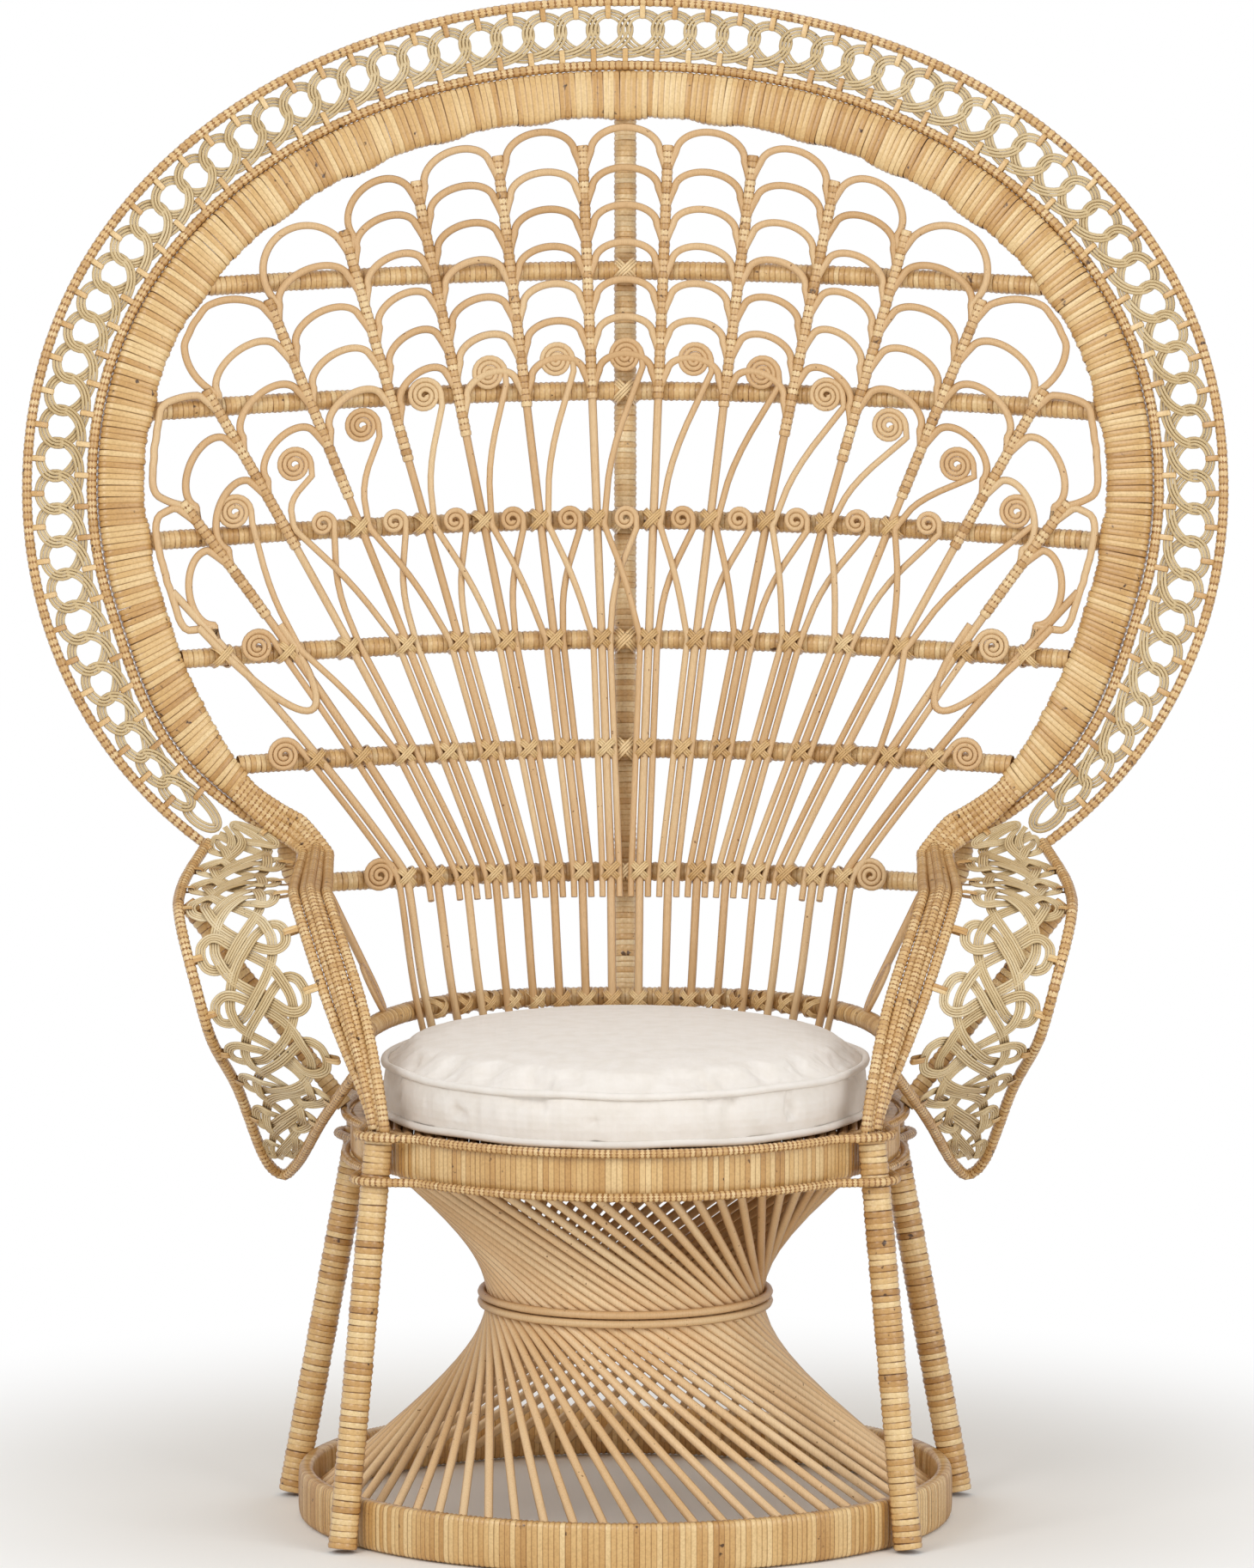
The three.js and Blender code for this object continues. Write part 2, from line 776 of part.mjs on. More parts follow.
function seatRailFormula(t) {
  const angle = (t - 0.5) * Math.PI;
  const power = 2 / seatRailPower;
  const u = seatRailHalf * Math.sign(angle) * Math.abs(Math.sin(angle)) ** power;
  const depth = seatRailDepth * Math.max(0, Math.cos(angle)) ** power;
  return vec(u, seatRailFrontY + depth, seatRailZ);
}

const seatRailEnd = reach(seatRailFormula, 0.5, 0.9999, railRod, clearOfArms);
const seatRailRoute = new Route((t) => seatRailFormula(lerp(1 - seatRailEnd, seatRailEnd, t)));
add('seat_back_rail', rod(seatRailRoute, railRod, 38, 5), rattan);

// Centre post: behind the rails, from the seat to the back of the hoop
const postLift = -(railRod + 2 * clearance + centerPostRod);
const postTop = insetPoint(0, trimMiddle(0) + hoopTrimRod).y;
const postFoot = apronTop + clearance + (centerPostRod - postLift) * Math.sin(radians(backLean));
const postRoute = new Route((t) => onBack(0, lerp(postFoot, postTop, t), postLift));
add('center_post', rod(postRoute, centerPostRod, 1, 8), rattan);

// Half width of the hoop's opening at a height
function openHalfWidth(z) {
  let low = 0;
  let high = rimHalfWidth;
  for (let i = 0; i < 40; i += 1) {
    const middle = (low + high) / 2;
    const inside = insideHoop(middle, z) > 0;
    low = inside ? middle : low;
    high = inside ? high : middle;
  }
  return low;
}

// Fan: place of a ray w (half steps from the middle) at a height
const lastRail = railHeights[railHeights.length - 1];
const fanPitch = fanPitchShare * openHalfWidth(railHeights[4]);
const fanFootPitch = fanFootShare * seatRailHalf;

function fanU(w, z) {
  if (z < lastRail) {
    return w * lerp(fanFootPitch, fanPitch, (z - seatRailZ) / (lastRail - seatRailZ));
  }
  const rise = z - lastRail;
  const bend = fanBend * Math.max(0, Math.abs(w) - fanBendFrom) ** 1.6 * rise ** 1.5;
  return fanPitch * (w * (1 + rise / fanFocusDrop) + Math.sign(w) * bend);
}

function fanPoint(w, z, radius) {
  const u = fanU(w, z);
  const lift = railRod + layerGap + radius * squareShare;
  const high = onBack(u, z, lift);
  if (z >= lastRail) {
    return high;
  }
  const share = (z - seatRailZ) / (lastRail - seatRailZ);
  const slope = (seatRailY(u + 1) - seatRailY(u - 1)) / 2;
  const turned = radius * squareShare * (1 + Math.abs(slope));
  const behind = (railRod + layerGap + seatRailSag) * Math.hypot(1, slope) + turned;
  const low = vec(u, seatRailY(u) - behind, z);
  return low.lerp(high, smoothstep(share, 0, 1));
}

// Height at which a ray comes within a distance of the hoop
function hoopHeight(w, away) {
  let low = lastRail;
  let high = rimWideZ + crownRise;
  for (let i = 0; i < 40; i += 1) {
    const middle = (low + high) / 2;
    const inside = insideHoop(fanU(w, middle), middle) > away;
    low = inside ? middle : low;
    high = inside ? high : middle;
  }
  return low;
}

function stalkTop(w) {
  const last = Math.abs(w) > stalksPerSide - 1;
  return hoopHeight(w, last ? stalkRod + 4 * clearance : stemDrop);
}

// Four corners round a ray: corners 3 and 0 face right, corners 1 and 2 face left.
function rayRing(w, z, radius) {
  const center = fanPoint(w, z, radius);
  const along = fanPoint(w, z + 1, radius).sub(center).normalize();
  const across = vec(1, 0, 0).addScaledVector(along, -along.x).normalize();
  const behind = along.clone().cross(across);
  const half = radius * squareShare;
  return [[1, 1], [-1, 1], [-1, -1], [1, -1]].map(([right, back]) => {
    return center.clone().addScaledVector(across, right * half).addScaledVector(behind, back * half);
  });
}

const fanLift = railRod + layerGap + stalkRod * squareShare;

// Square rings of a bent cane along points (u, z) of the fan's layer; the first point is its root.
function caneRings(points, radius) {
  const half = radius * squareShare;
  return points.slice(1).map((p, i) => {
    const before = points[i];
    const after = points[Math.min(i + 2, points.length - 1)];
    const center = onBack(p.x, p.y, fanLift);
    const along = onBack(after.x, after.y, fanLift).sub(onBack(before.x, before.y, fanLift)).normalize();
    const normal = onBack(p.x, p.y, fanLift + 1).sub(center).normalize();
    const side = normal.clone().cross(along);
    return [[1, -1], [-1, -1], [-1, 1], [1, 1]].map(([front, up]) => {
      return center.clone().addScaledVector(normal, front * half).addScaledVector(side, up * half);
    });
  });
}

// A stalk: one foot cane, a bundle from its square-cut tail up, a bound stem, and the bent canes
// that leave it. Each bent cane grows from a face of the stalk, left or right, at its own height.
function stalk(w, branches) {
  const top = stalkTop(w);
  const tail = lastRail - bundleTail;
  const levels = [[seatRailZ - stalkFootLength, stalkFootRod], [seatRailZ + stalkFootLength, stalkFootRod]];
  levels.push([tail, stalkFootRod], [tail + tailStep, stalkBundleRod]);
  levels.push([railHeights[4], stalkBundleRod]);
  for (const height of [railHeights[3], railHeights[1]]) {
    const free = branches.every((branch) => Math.abs(branch.z - height) > branchRoom);
    if (free && height < top - stemRoom) {
      levels.push([height, stalkRod]);
    }
  }
  for (const branch of branches) {
    const radius = branch.z < railHeights[4] ? stalkBundleRod : stalkRod;
    const half = branch.radius * squareShare;
    levels.push([branch.z - half, radius, branch], [branch.z + half, radius]);
  }
  levels.push([top, stalkRod]);
  levels.sort((a, b) => a[0] - b[0]);
  const points = [];
  const index = [];
  const keep = (ring) => ring.map((p) => points.push(p) - 1);
  const quad = (a, b, c, d) => index.push(a, b, c, a, c, d);
  const rings = levels.map(([z, radius]) => keep(rayRing(w, z, radius)));
  for (let i = 0; i < rings.length - 1; i += 1) {
    const low = rings[i];
    const high = rings[i + 1];
    const branch = levels[i][2];
    const open = branch ? (branch.side > 0 ? 3 : 1) : -1;
    for (let j = 0; j < 4; j += 1) {
      const k = (j + 1) % 4;
      if (j !== open) {
        quad(low[j], low[k], high[k], high[j]);
        continue;
      }
      const right = [low[3], low[0], high[0], high[3]];
      const left = [high[2], high[1], low[1], low[2]];
      let loop = branch.side > 0 ? right : left;
      for (const ring of caneRings(branch.points, branch.radius)) {
        const next = keep(ring);
        for (let m = 0; m < 4; m += 1) {
          const n = (m + 1) % 4;
          quad(loop[m], loop[n], next[n], next[m]);
        }
        loop = next;
      }
      quad(...loop);
    }
  }
  const first = rings[0];
  const last = rings[rings.length - 1];
  quad(first[0], first[3], first[2], first[1]);
  quad(...last);
  const geometry = new THREE.BufferGeometry();
  const flat = points.flatMap((p) => [p.x, p.y, p.z]);
  geometry.setAttribute('position', new THREE.Float32BufferAttribute(flat, 3));
  geometry.setIndex(index);
  return geometry;
}

// A place beside a ray, by its distance square to the ray
function beside(w, aside, z) {
  const slope = (fanU(w, z + 1) - fanU(w, z - 1)) / 2;
  return new THREE.Vector2(fanU(w, z) + aside * Math.hypot(1, slope), z);
}

// Scallops hang in rows below the hoop, in the column right of ray w.
function scallopApex(w, row) {
  return hoopHeight(w + 0.5, archRod + archGap) - row * archPitch;
}

// A scallop grows from ray w, arches over and comes down along the next ray on its right.
function scallop(w, row) {
  const apex = scallopApex(w, row);
  const leftFoot = Math.min(apex - archRise, stalkTop(w) - 5 - row * archPitch);
  const rightFoot = Math.min(apex - archRise, stalkTop(w + 1) - 3 - row * archPitch);
  const rise = apex - (leftFoot + rightFoot) / 2;
  const points = [beside(w, stalkRod * 0.9, leftFoot)];
  for (const share of [0.28, 0.5, 0.74, 1]) {
    const angle = Math.PI * share;
    const s = (1 - Math.cos(angle)) / 2;
    const free = hoopHeight(w + s, archRod + archGap) - row * archPitch;
    const z = Math.min(lerp(leftFoot, rightFoot, s) + rise * Math.sin(angle), free);
    points.push(beside(w + s, lerp(stalkRod, -(stalkRod + archRod + 3 * clearance), s), z));
  }
  return { z: leftFoot, radius: archRod, side: 1, points };
}

// Points of a flat spiral that winds inward from a start angle
function spiral(center, radius, cane, startAngle, hand, turns, steps) {
  const outer = radius - cane;
  const inner = outer - (2 * cane + coilGap) * turns;
  return Array.from({ length: steps + 1 }, (unused, i) => {
    const angle = startAngle + (hand * 2 * Math.PI * turns * i) / steps;
    const r = lerp(outer, inner, i / steps);
    return new THREE.Vector2(center.x + r * Math.cos(angle), center.y + r * Math.sin(angle));
  });
}

// A scroll in the column right of ray w: its cane leaves the ray below and enters on the right.
function columnScroll(w, centerZ, radius, footZ) {
  const center = new THREE.Vector2(fanU(w + 0.5, centerZ), centerZ);
  const coil = spiral(center, radius, scrollRod, -0.3, 1, 1.05, 9);
  const root = beside(w, stalkRod * 0.9, footZ);
  const lean = beside(w, stalkRod + 2.5 * scrollRod, footZ + scrollLean);
  return { z: footZ, radius: scrollRod, side: 1, points: [root, lean, ...coil] };
}

// A scroll outside ray w, level with a rail, no wider than the room up to a stalk beyond it
function endScroll(w, height) {
  const side = Math.sign(w);
  const ray = beside(w, 0, height);
  const inner = stalkBundleRod + endScrollGap;
  const room = Math.abs(fanU(w + side, height) - ray.x) - inner - 2 * stalkRod - endScrollGap;
  const outermost = Math.abs(w) > stalksPerSide - 1;
  const radius = outermost ? endScrollRadius : Math.min(endScrollRadius, room / 2);
  const center = new THREE.Vector2(ray.x + side * (inner + radius), height);
  const foot = height - radius + scrollRod;
  const coil = spiral(center, radius, scrollRod, -Math.PI / 2, side, 1.05, 9);
  return { z: foot, radius: scrollRod, side, points: [beside(w, side * stalkRod * 0.9, foot), ...coil] };
}

for (let i = 0; i < 2 * stalksPerSide; i += 1) {
  const w = i - stalksPerSide + 0.5;
  const column = Math.abs(w + 0.5);
  const branches = [];
  if (i < 2 * stalksPerSide - 1) {
    const centerZ = scrollRowZ - scrollRowDrop * column ** 2;
    const scrollTop = column < 7 ? centerZ + scrollRadius : railHeights[3] + endScrollRadius;
    for (let row = 0; row < archRows[column]; row += 1) {
      if (scallopApex(w, row) - archRod > scrollTop) {
        branches.push(scallop(w, row));
      }
    }
    if (column < 7) {
      branches.push(columnScroll(w, centerZ, scrollRadius, railHeights[column < 6 ? 2 : 3] + scrollRootRise));
    }
    if (column < 6) {
      branches.push(columnScroll(w, railHeights[2], smallScrollRadius, railHeights[3] + smallScrollRise));
    }
  }
  if (Math.abs(w) > stalksPerSide - 2) {
    const outermost = Math.abs(w) > stalksPerSide - 1;
    for (const height of outermost ? [railHeights[4], lastRail] : [railHeights[3]]) {
      branches.push(endScroll(w, height));
    }
  }
  add(`fan_stalk_${String(i + 1).padStart(2, '0')}`, stalk(w, branches), peeledCane);
}

// Wings: a thin rod leaves the end of the rim, frames the arm's openwork round its top, front and
// underside, turns at a low tip and comes back up to the arm.
function wingRoute(side) {
  const rimTip = insetPoint(rimEnd, rimRod);
  const start = onBack(rimTip.x, rimTip.y, borderLift + 2 * rimRod + clearance);
  const far = armHalfGap + wingWidth;
  const foldX = lerp(far, wingTipX + wingTipTurn, 0.3);
  const turnX = lerp(foldX, wingTipX + wingTipTurn, 0.4);
  const arm = armPaths.righttrue;
  const joint = arm.reduce((a, b) => (Math.abs(a.z - wingJointZ) < Math.abs(b.z - wingJointZ) ? a : b)).clone();
  const points = [
    start,
    vec(far + wingBulge, wingCrestY, armTopZ - wingCrestDrop),
    vec(far + wingBulge, wingBendY, armTopZ - wingBendDrop),
    vec(far - wingNoseDraw, wingNoseY, lerp(armTopZ, wingFoldZ, 0.65)),
    vec(foldX, wingFoldY, wingFoldZ),
    vec(turnX, lerp(wingNoseY, wingTipY, 0.5), lerp(wingFoldZ, wingTipZ, 0.36)),
    vec(wingTipX + wingTipTurn, wingTipY - wingTipRise, wingTipZ + wingTipRise),
    vec(wingTipX, wingTipY, wingTipZ),
    vec(wingTipX - wingTipTurn, wingTipY - 2 * wingTipRise, wingTipZ + wingTipRise),
    vec(wingTipX, wingTipY, wingTipZ).lerp(joint, wingReturnShare),
    joint,
  ];
  points.forEach((p) => p.setX(p.x * side));
  return new THREE.CatmullRomCurve3(points, false, 'centripetal');
}

const wingPaths = {};
for (const [side, word] of sides) {
  const curve = wingRoute(side);
  const formula = (t) => curve.getPoint(t);
  const end = reach(formula, 0.9, 1, wingRod, clearOfArms);
  const route = new Route((t) => formula(t * end));
  wingPaths[word] = samples(route, 300);
  add(`wing_rim_${word}`, rod(route, wingRod, 24, 6), rattan);

  const high = vec(side * (armHalfGap + wingWidth + wingBulge), braceTopY, armTopZ - braceTopDrop);
  const low = vec(side * apronRadius, braceFootY, apronTop);
  const straight = (t) => high.clone().lerp(low, t);
  const clearOfWing = (p) => distanceTo(wingPaths[word], p) > wingRod + wingGap;
  const trimAway = apronRadius + clearance + 2 * seatTrimRod + clearance;
  const clearOfSeat = (p) => Math.hypot(p.x, p.y) > trimAway || p.z > apronTop + seatTrimRod + clearance;
  const from = reach(straight, 0.5, 0, braceRod, clearOfWing);
  const to = reach(straight, 0.5, 1, braceRod, (p) => clearOfSeat(p) && clearOfWing(p) && clearOfArms(p));
  const brace = new Route((t) => straight(lerp(from, to, t)));
  add(`wing_brace_${word}`, rod(brace, braceRod, 1, 8), rattan);
}

// Wing weave: a flat reed that waves between the wing's rim and the arm, folds under the nose of
// the arm with the rim and narrows to the low tip. Each row pairs a place on the rim with its place
// on the outer arm rod, and past the fold with its place on the rim's way back up.
const wingTurns = [
  { rim: 0.054, arm: 0.1 },
  { rim: 0.1, arm: 0.28 },
  { rim: 0.2, arm: 0.45 },
  { rim: 0.3, arm: 0.6 },
  { rim: 0.4, arm: 0.73 },
  { rim: 0.46, back: 0.955 },
  { rim: 0.5, back: 0.92 },
  { rim: 0.54, back: 0.885 },
  { rim: 0.57, back: 0.845 },
];

function wingReedRings(side) {
  const rim = wingRoute(side);
  const arm = armRoute(side, true);
  const rows = wingTurns.map((row) => [
    rim.getPoint(row.rim),
    row.arm ? arm.getPoint(row.arm) : rim.getPoint(row.back),
  ]);
  const edges = [0, 1].map((k) => new THREE.CatmullRomCurve3(rows.map((row) => row[k])));
  const count = wingWaves * 4;
  const from = 0.01;
  const to = 1 - from;
  const middle = (s) => {
    const outer = edges[0].getPoint(s);
    const inner = edges[1].getPoint(s);
    const turn = (2 * Math.PI * wingWaves * (s - from)) / (to - from);
    const width = outer.distanceTo(inner);
    const near = wingRod + weaveRimGap + wingReed / 2;
    const far = width - armRod - weaveArmGap - wingReed / 2;
    const place = (near + far) / 2 - (Math.cos(turn) * (far - near)) / 2;
    return outer.lerp(inner, place / width);
  };
  return Array.from({ length: count + 1 }, (unused, i) => {
    const s = lerp(from, to, i / count);
    const center = middle(s);
    const along = middle(s + 2e-3).sub(middle(s - 2e-3)).normalize();
    const across = edges[1].getPoint(s).sub(edges[0].getPoint(s));
    const onward = edges[0].getPoint(s + 1e-2).sub(edges[0].getPoint(s - 1e-2));
    const normal = onward.cross(across).normalize();
    normal.addScaledVector(along, -normal.dot(along)).normalize();
    const wide = normal.clone().cross(along);
    return [[1, 1], [-1, 1], [-1, -1], [1, -1]].map(([a, b]) => {
      const corner = center.clone().addScaledVector(wide, (a * wingReed) / 2);
      return corner.addScaledVector(normal, (b * wingReedThickness) / 2);
    });
  });
}

// A double scroll under each arm: a large coil stands on the seat rail, and its cane runs up into a
// small coil that touches the arm from below.
function armScroll(side) {
  const arm = armPaths[side < 0 ? 'leftfalse' : 'rightfalse'];
  const topY = armScrollY + armScrollRadius - armScrollTopRadius;
  const above = arm.reduce((a, b) => (Math.abs(a.y - topY) < Math.abs(b.y - topY) ? a : b));
  const half = armScrollRod * squareShare;
  const foot = seatRailZ + railRod * Math.cos(Math.PI / 5) + clearance;
  const depth = (armScrollY - seatRailFrontY) / seatRailDepth;
  const railX = seatRailHalf * (1 - depth ** seatRailPower) ** (1 / seatRailPower);
  const tilt = Math.abs(above.x) - railX;
  const quarterDraw = (2 * armScrollRod + coilGap) / 4;
  const low = new THREE.Vector2(armScrollY, foot + armScrollRadius - quarterDraw);
  const spread = armScrollTopRadius + armRod + clearance;
  const rests = arm.filter((p) => Math.abs(p.y - topY) < spread).map((p) => {
    const away = p.y - topY;
    const room = spread - (quarterDraw * Math.acos(away / spread)) / (Math.PI / 2);
    return p.z - Math.sqrt(Math.max(0, room ** 2 - away ** 2));
  });
  const high = new THREE.Vector2(topY, Math.min(...rests));
  const top = high.y + armScrollTopRadius - quarterDraw;
  const lowCoil = spiral(low, armScrollRadius, armScrollRod, 0, -1, 1.15, 10);
  const highCoil = spiral(high, armScrollTopRadius, armScrollRod, 0, 1, 1.05, 8);
  const path = [...lowCoil.reverse(), ...highCoil];
  const place = (p) => vec(side * (railX + (tilt * (p.y - foot)) / (top - foot)), p.x, p.y);
  return loft(path.map((p, i) => {
    const before = place(path[Math.max(0, i - 1)]);
    const along = place(path[Math.min(path.length - 1, i + 1)]).sub(before).normalize();
    const normal = vec(1, 0, 0).addScaledVector(along, -along.x).normalize();
    const wide = normal.clone().cross(along);
    return [[1, 1], [-1, 1], [-1, -1], [1, -1]].map(([a, b]) => {
      return place(p).addScaledVector(wide, a * half).addScaledVector(normal, b * half);
    });
  }));
}

for (const [side, word] of sides) {
  add(`wing_weave_${word}`, loft(wingReedRings(side)), laceCane);
  add(`arm_scroll_${word}`, armScroll(side), peeledCane);
}

// Stands with its lowest point at zero and the middle of its plan at the origin.
const box = new THREE.Box3().setFromObject(chair);
chair.position.y = -(box.min.y + box.max.y) / 2;
const part = new THREE.Group();
part.add(chair);

export default part;
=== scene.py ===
import bpy
import math
import random
from mathutils import Euler, Matrix, Vector


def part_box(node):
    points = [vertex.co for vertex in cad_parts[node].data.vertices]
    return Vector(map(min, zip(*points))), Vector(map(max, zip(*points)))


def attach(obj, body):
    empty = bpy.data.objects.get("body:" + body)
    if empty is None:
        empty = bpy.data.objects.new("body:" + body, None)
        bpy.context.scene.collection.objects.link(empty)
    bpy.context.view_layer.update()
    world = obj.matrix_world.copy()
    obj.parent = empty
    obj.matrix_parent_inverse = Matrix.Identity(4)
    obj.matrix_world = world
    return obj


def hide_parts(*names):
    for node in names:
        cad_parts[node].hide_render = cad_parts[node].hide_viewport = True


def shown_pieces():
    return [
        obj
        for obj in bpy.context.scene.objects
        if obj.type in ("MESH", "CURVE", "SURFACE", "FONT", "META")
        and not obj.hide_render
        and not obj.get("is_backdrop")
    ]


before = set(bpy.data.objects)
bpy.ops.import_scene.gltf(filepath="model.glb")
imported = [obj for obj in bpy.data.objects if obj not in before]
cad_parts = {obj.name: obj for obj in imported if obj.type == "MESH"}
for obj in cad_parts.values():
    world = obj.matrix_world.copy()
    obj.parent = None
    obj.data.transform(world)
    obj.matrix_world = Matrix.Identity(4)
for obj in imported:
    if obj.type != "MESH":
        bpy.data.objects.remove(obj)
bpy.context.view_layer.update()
ringLow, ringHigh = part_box("base_ring")
seatY = (ringLow.y + ringHigh.y) / 2  # the seat, waist and base ring share this middle


# small helpers
def mix(a, b, t):
    return a + (b - a) * t


def ease(x, low, high):
    t = min(1.0, max(0.0, (x - low) / (high - low)))
    return t * t * (3 - 2 * t)


def sign(x):
    return -1.0 if x < 0 else 1.0


def tint(code):
    # a screen colour as the linear numbers a shader takes
    parts = [int(code[i:i + 2], 16) / 255 for i in (0, 2, 4)]
    return [c / 12.92 if c <= 0.04045 else ((c + 0.055) / 1.055) ** 2.4 for c in parts] + [1.0]


def around(radius, degrees, z):
    a = math.radians(degrees)
    return Vector((radius * math.sin(a), seatY - radius * math.cos(a), z))


def turnTo(along, side):
    # z runs along, x lies to the side
    z = along.normalized()
    x = (side - z * side.dot(z)).normalized()
    return Matrix((x, z.cross(x), z)).transposed().to_quaternion()


def onSide(p, side):
    # a place of the right half, on the right or mirrored to the left
    return Vector((p.x * side, p.y, p.z))


# materials
def shaderTree(name):
    material = bpy.data.materials.new(name)
    material.use_nodes = True
    nodes = material.node_tree.nodes
    return material, nodes, material.node_tree.links, nodes["Principled BSDF"]


def wired(nodes, links, kind, inputs=None, **settings):
    made = nodes.new(kind)
    for key, value in settings.items():
        setattr(made, key, value)
    for key, value in (inputs or {}).items():
        socket = made.inputs[key]
        if isinstance(value, bpy.types.NodeSocket):
            links.new(value, socket)
        else:
            socket.default_value = value
    return made


def reckon(nodes, links, operation, *values):
    return wired(nodes, links, "ShaderNodeMath", dict(enumerate(values)), operation=operation).outputs[0]


def ramp(nodes, links, factor, stops):
    made = wired(nodes, links, "ShaderNodeValToRGB", {"Fac": factor})
    band = made.color_ramp
    while len(band.elements) < len(stops):
        band.elements.new(0.5)
    for element, (place, color) in zip(band.elements, stops):
        element.position = place
        element.color = color
    return made.outputs["Color"]


def blendColors(nodes, links, factor, a, b, how="MIX"):
    made = wired(nodes, links, "ShaderNodeMix", data_type="RGBA", blend_type=how)
    for index, value in ((0, factor), (6, a), (7, b)):
        if isinstance(value, bpy.types.NodeSocket):
            links.new(value, made.inputs[index])
        else:
            made.inputs[index].default_value = value
    return made.outputs[2]


def noise(nodes, links, place, scale, detail=2.0, stretch=None):
    if stretch:
        mapped = wired(nodes, links, "ShaderNodeMapping", {"Vector": place, "Scale": stretch})
        place = mapped.outputs["Vector"]
    made = wired(nodes, links, "ShaderNodeTexNoise", {"Vector": place, "Scale": scale, "Detail": detail})
    return made.outputs["Fac"]


def paintedFlankShade(nodes, links, base, depth):
    # painted shade: the flanks of a rod are darker than its crown, darkest where the surface turns from the camera
    facing = wired(nodes, links, "ShaderNodeLayerWeight", {"Blend": 0.5}).outputs["Facing"]
    shade = ramp(nodes, links, facing, [(0.45, (1, 1, 1, 1)), (0.95, depth)])
    return blendColors(nodes, links, 1.0, base, shade, "MULTIPLY")


caneFinish = {
    "pale": "e2c69a", "warm": "d4af80", "deep": "bf9561", "mark": "7d5730",
    "roughness": 0.46, "bump": 0.12,
}
# painted light: a lighter copy of caneFinish for the hourglass canes, lifting the shade inside the hourglass
hourglassPaintedLightFinish = {
    "pale": "f0d6ac", "warm": "e6c496", "deep": "d4ac78", "mark": "7d5730",
    "roughness": 0.46, "bump": 0.12,
}


def caneMaterial(name, finish):
    # round canes: long grain, cloudy warm patches and a few dark flecks
    material, nodes, links, shader = shaderTree(name)
    place = wired(nodes, links, "ShaderNodeTexCoord").outputs["Object"]
    tone = wired(nodes, links, "ShaderNodeAttribute", attribute_name="tone").outputs["Fac"]
    cloud = noise(nodes, links, place, 9.0, 3.0)
    grain = noise(nodes, links, place, 900.0, 2.0, (1.0, 1.0, 0.05))
    fleck = noise(nodes, links, place, 210.0, 1.0)
    shade = reckon(nodes, links, "ADD", tone, cloud)
    half = reckon(nodes, links, "MULTIPLY", shade, 0.5)
    stops = [(0.22, tint(finish["pale"])), (0.5, tint(finish["warm"])), (0.82, tint(finish["deep"]))]
    base = ramp(nodes, links, half, stops)
    grainy = ramp(nodes, links, grain, [(0.3, (0.86, 0.84, 0.8, 1)), (0.6, (1, 1, 1, 1))])
    base = blendColors(nodes, links, 0.8, base, grainy, "MULTIPLY")
    spot = ramp(nodes, links, fleck, [(0.74, (0, 0, 0, 1)), (0.80, (1, 1, 1, 1))])
    base = blendColors(nodes, links, spot, base, tint(finish["mark"]))
    # painted shade on the cane's flanks, multiplied toward this brown at grazing angles
    base = paintedFlankShade(nodes, links, base, (0.5, 0.38, 0.27, 1))
    links.new(base, shader.inputs["Base Color"])
    bump = wired(nodes, links, "ShaderNodeBump", {"Height": grain, "Strength": finish["bump"], "Distance": 0.0006})
    links.new(bump.outputs["Normal"], shader.inputs["Normal"])
    shader.inputs["Roughness"].default_value = finish["roughness"]
    return material


wrapFinish = {
    "pale": "e9cc98", "gold": "d9b378", "tan": "c69a5e", "brown": "a2733a", "mark": "4d3114",
    "seam": (0.4, 0.28, 0.17, 1), "roughness": 0.34, "bump": 0.25,
}


def wrapMaterial(name, finish):
    # strip wound round a rod: each turn has its own tone, some turns carry dark skin marks
    material, nodes, links, shader = shaderTree(name)
    place = wired(nodes, links, "ShaderNodeTexCoord").outputs["Object"]
    tone = wired(nodes, links, "ShaderNodeAttribute", attribute_name="tone").outputs["Fac"]
    patch = noise(nodes, links, place, 14.0, 3.0)
    fibre = noise(nodes, links, place, 420.0, 2.0)
    tones = reckon(nodes, links, "MULTIPLY", tone, 0.66)
    mean = reckon(nodes, links, "MULTIPLY_ADD", patch, 0.34, tones)
    stops = [(0.2, tint(finish["pale"])), (0.46, tint(finish["gold"])), (0.7, tint(finish["tan"])),
             (0.92, tint(finish["brown"]))]
    base = ramp(nodes, links, mean, stops)
    fibrous = ramp(nodes, links, fibre, [(0.34, (0.82, 0.79, 0.74, 1)), (0.58, (1, 1, 1, 1))])
    base = blendColors(nodes, links, 0.7, base, fibrous, "MULTIPLY")
    skin = noise(nodes, links, place, 130.0, 2.0)
    rare = reckon(nodes, links, "MULTIPLY", tone, 0.16)
    marked = reckon(nodes, links, "ADD", skin, rare)
    spot = ramp(nodes, links, marked, [(0.80, (0, 0, 0, 1)), (0.87, (1, 1, 1, 1))])
    base = blendColors(nodes, links, spot, base, tint(finish["mark"]))
    edge = wired(nodes, links, "ShaderNodeAttribute", attribute_name="edge").outputs["Fac"]
    seam = ramp(nodes, links, edge, [(0.74, (1, 1, 1, 1)), (1.0, finish["seam"])])
    base = blendColors(nodes, links, 1.0, base, seam, "MULTIPLY")
    # painted shade on the strip's flanks, multiplied toward this brown at grazing angles
    base = paintedFlankShade(nodes, links, base, (0.62, 0.5, 0.38, 1))
    links.new(base, shader.inputs["Base Color"])
    bump = wired(nodes, links, "ShaderNodeBump", {"Height": fibre, "Strength": finish["bump"], "Distance": 0.0004})
    links.new(bump.outputs["Normal"], shader.inputs["Normal"])
    shader.inputs["Roughness"].default_value = finish["roughness"]
    shader.inputs["Coat Weight"].default_value = 0.12
    shader.inputs["Coat Roughness"].default_value = 0.25
    return material


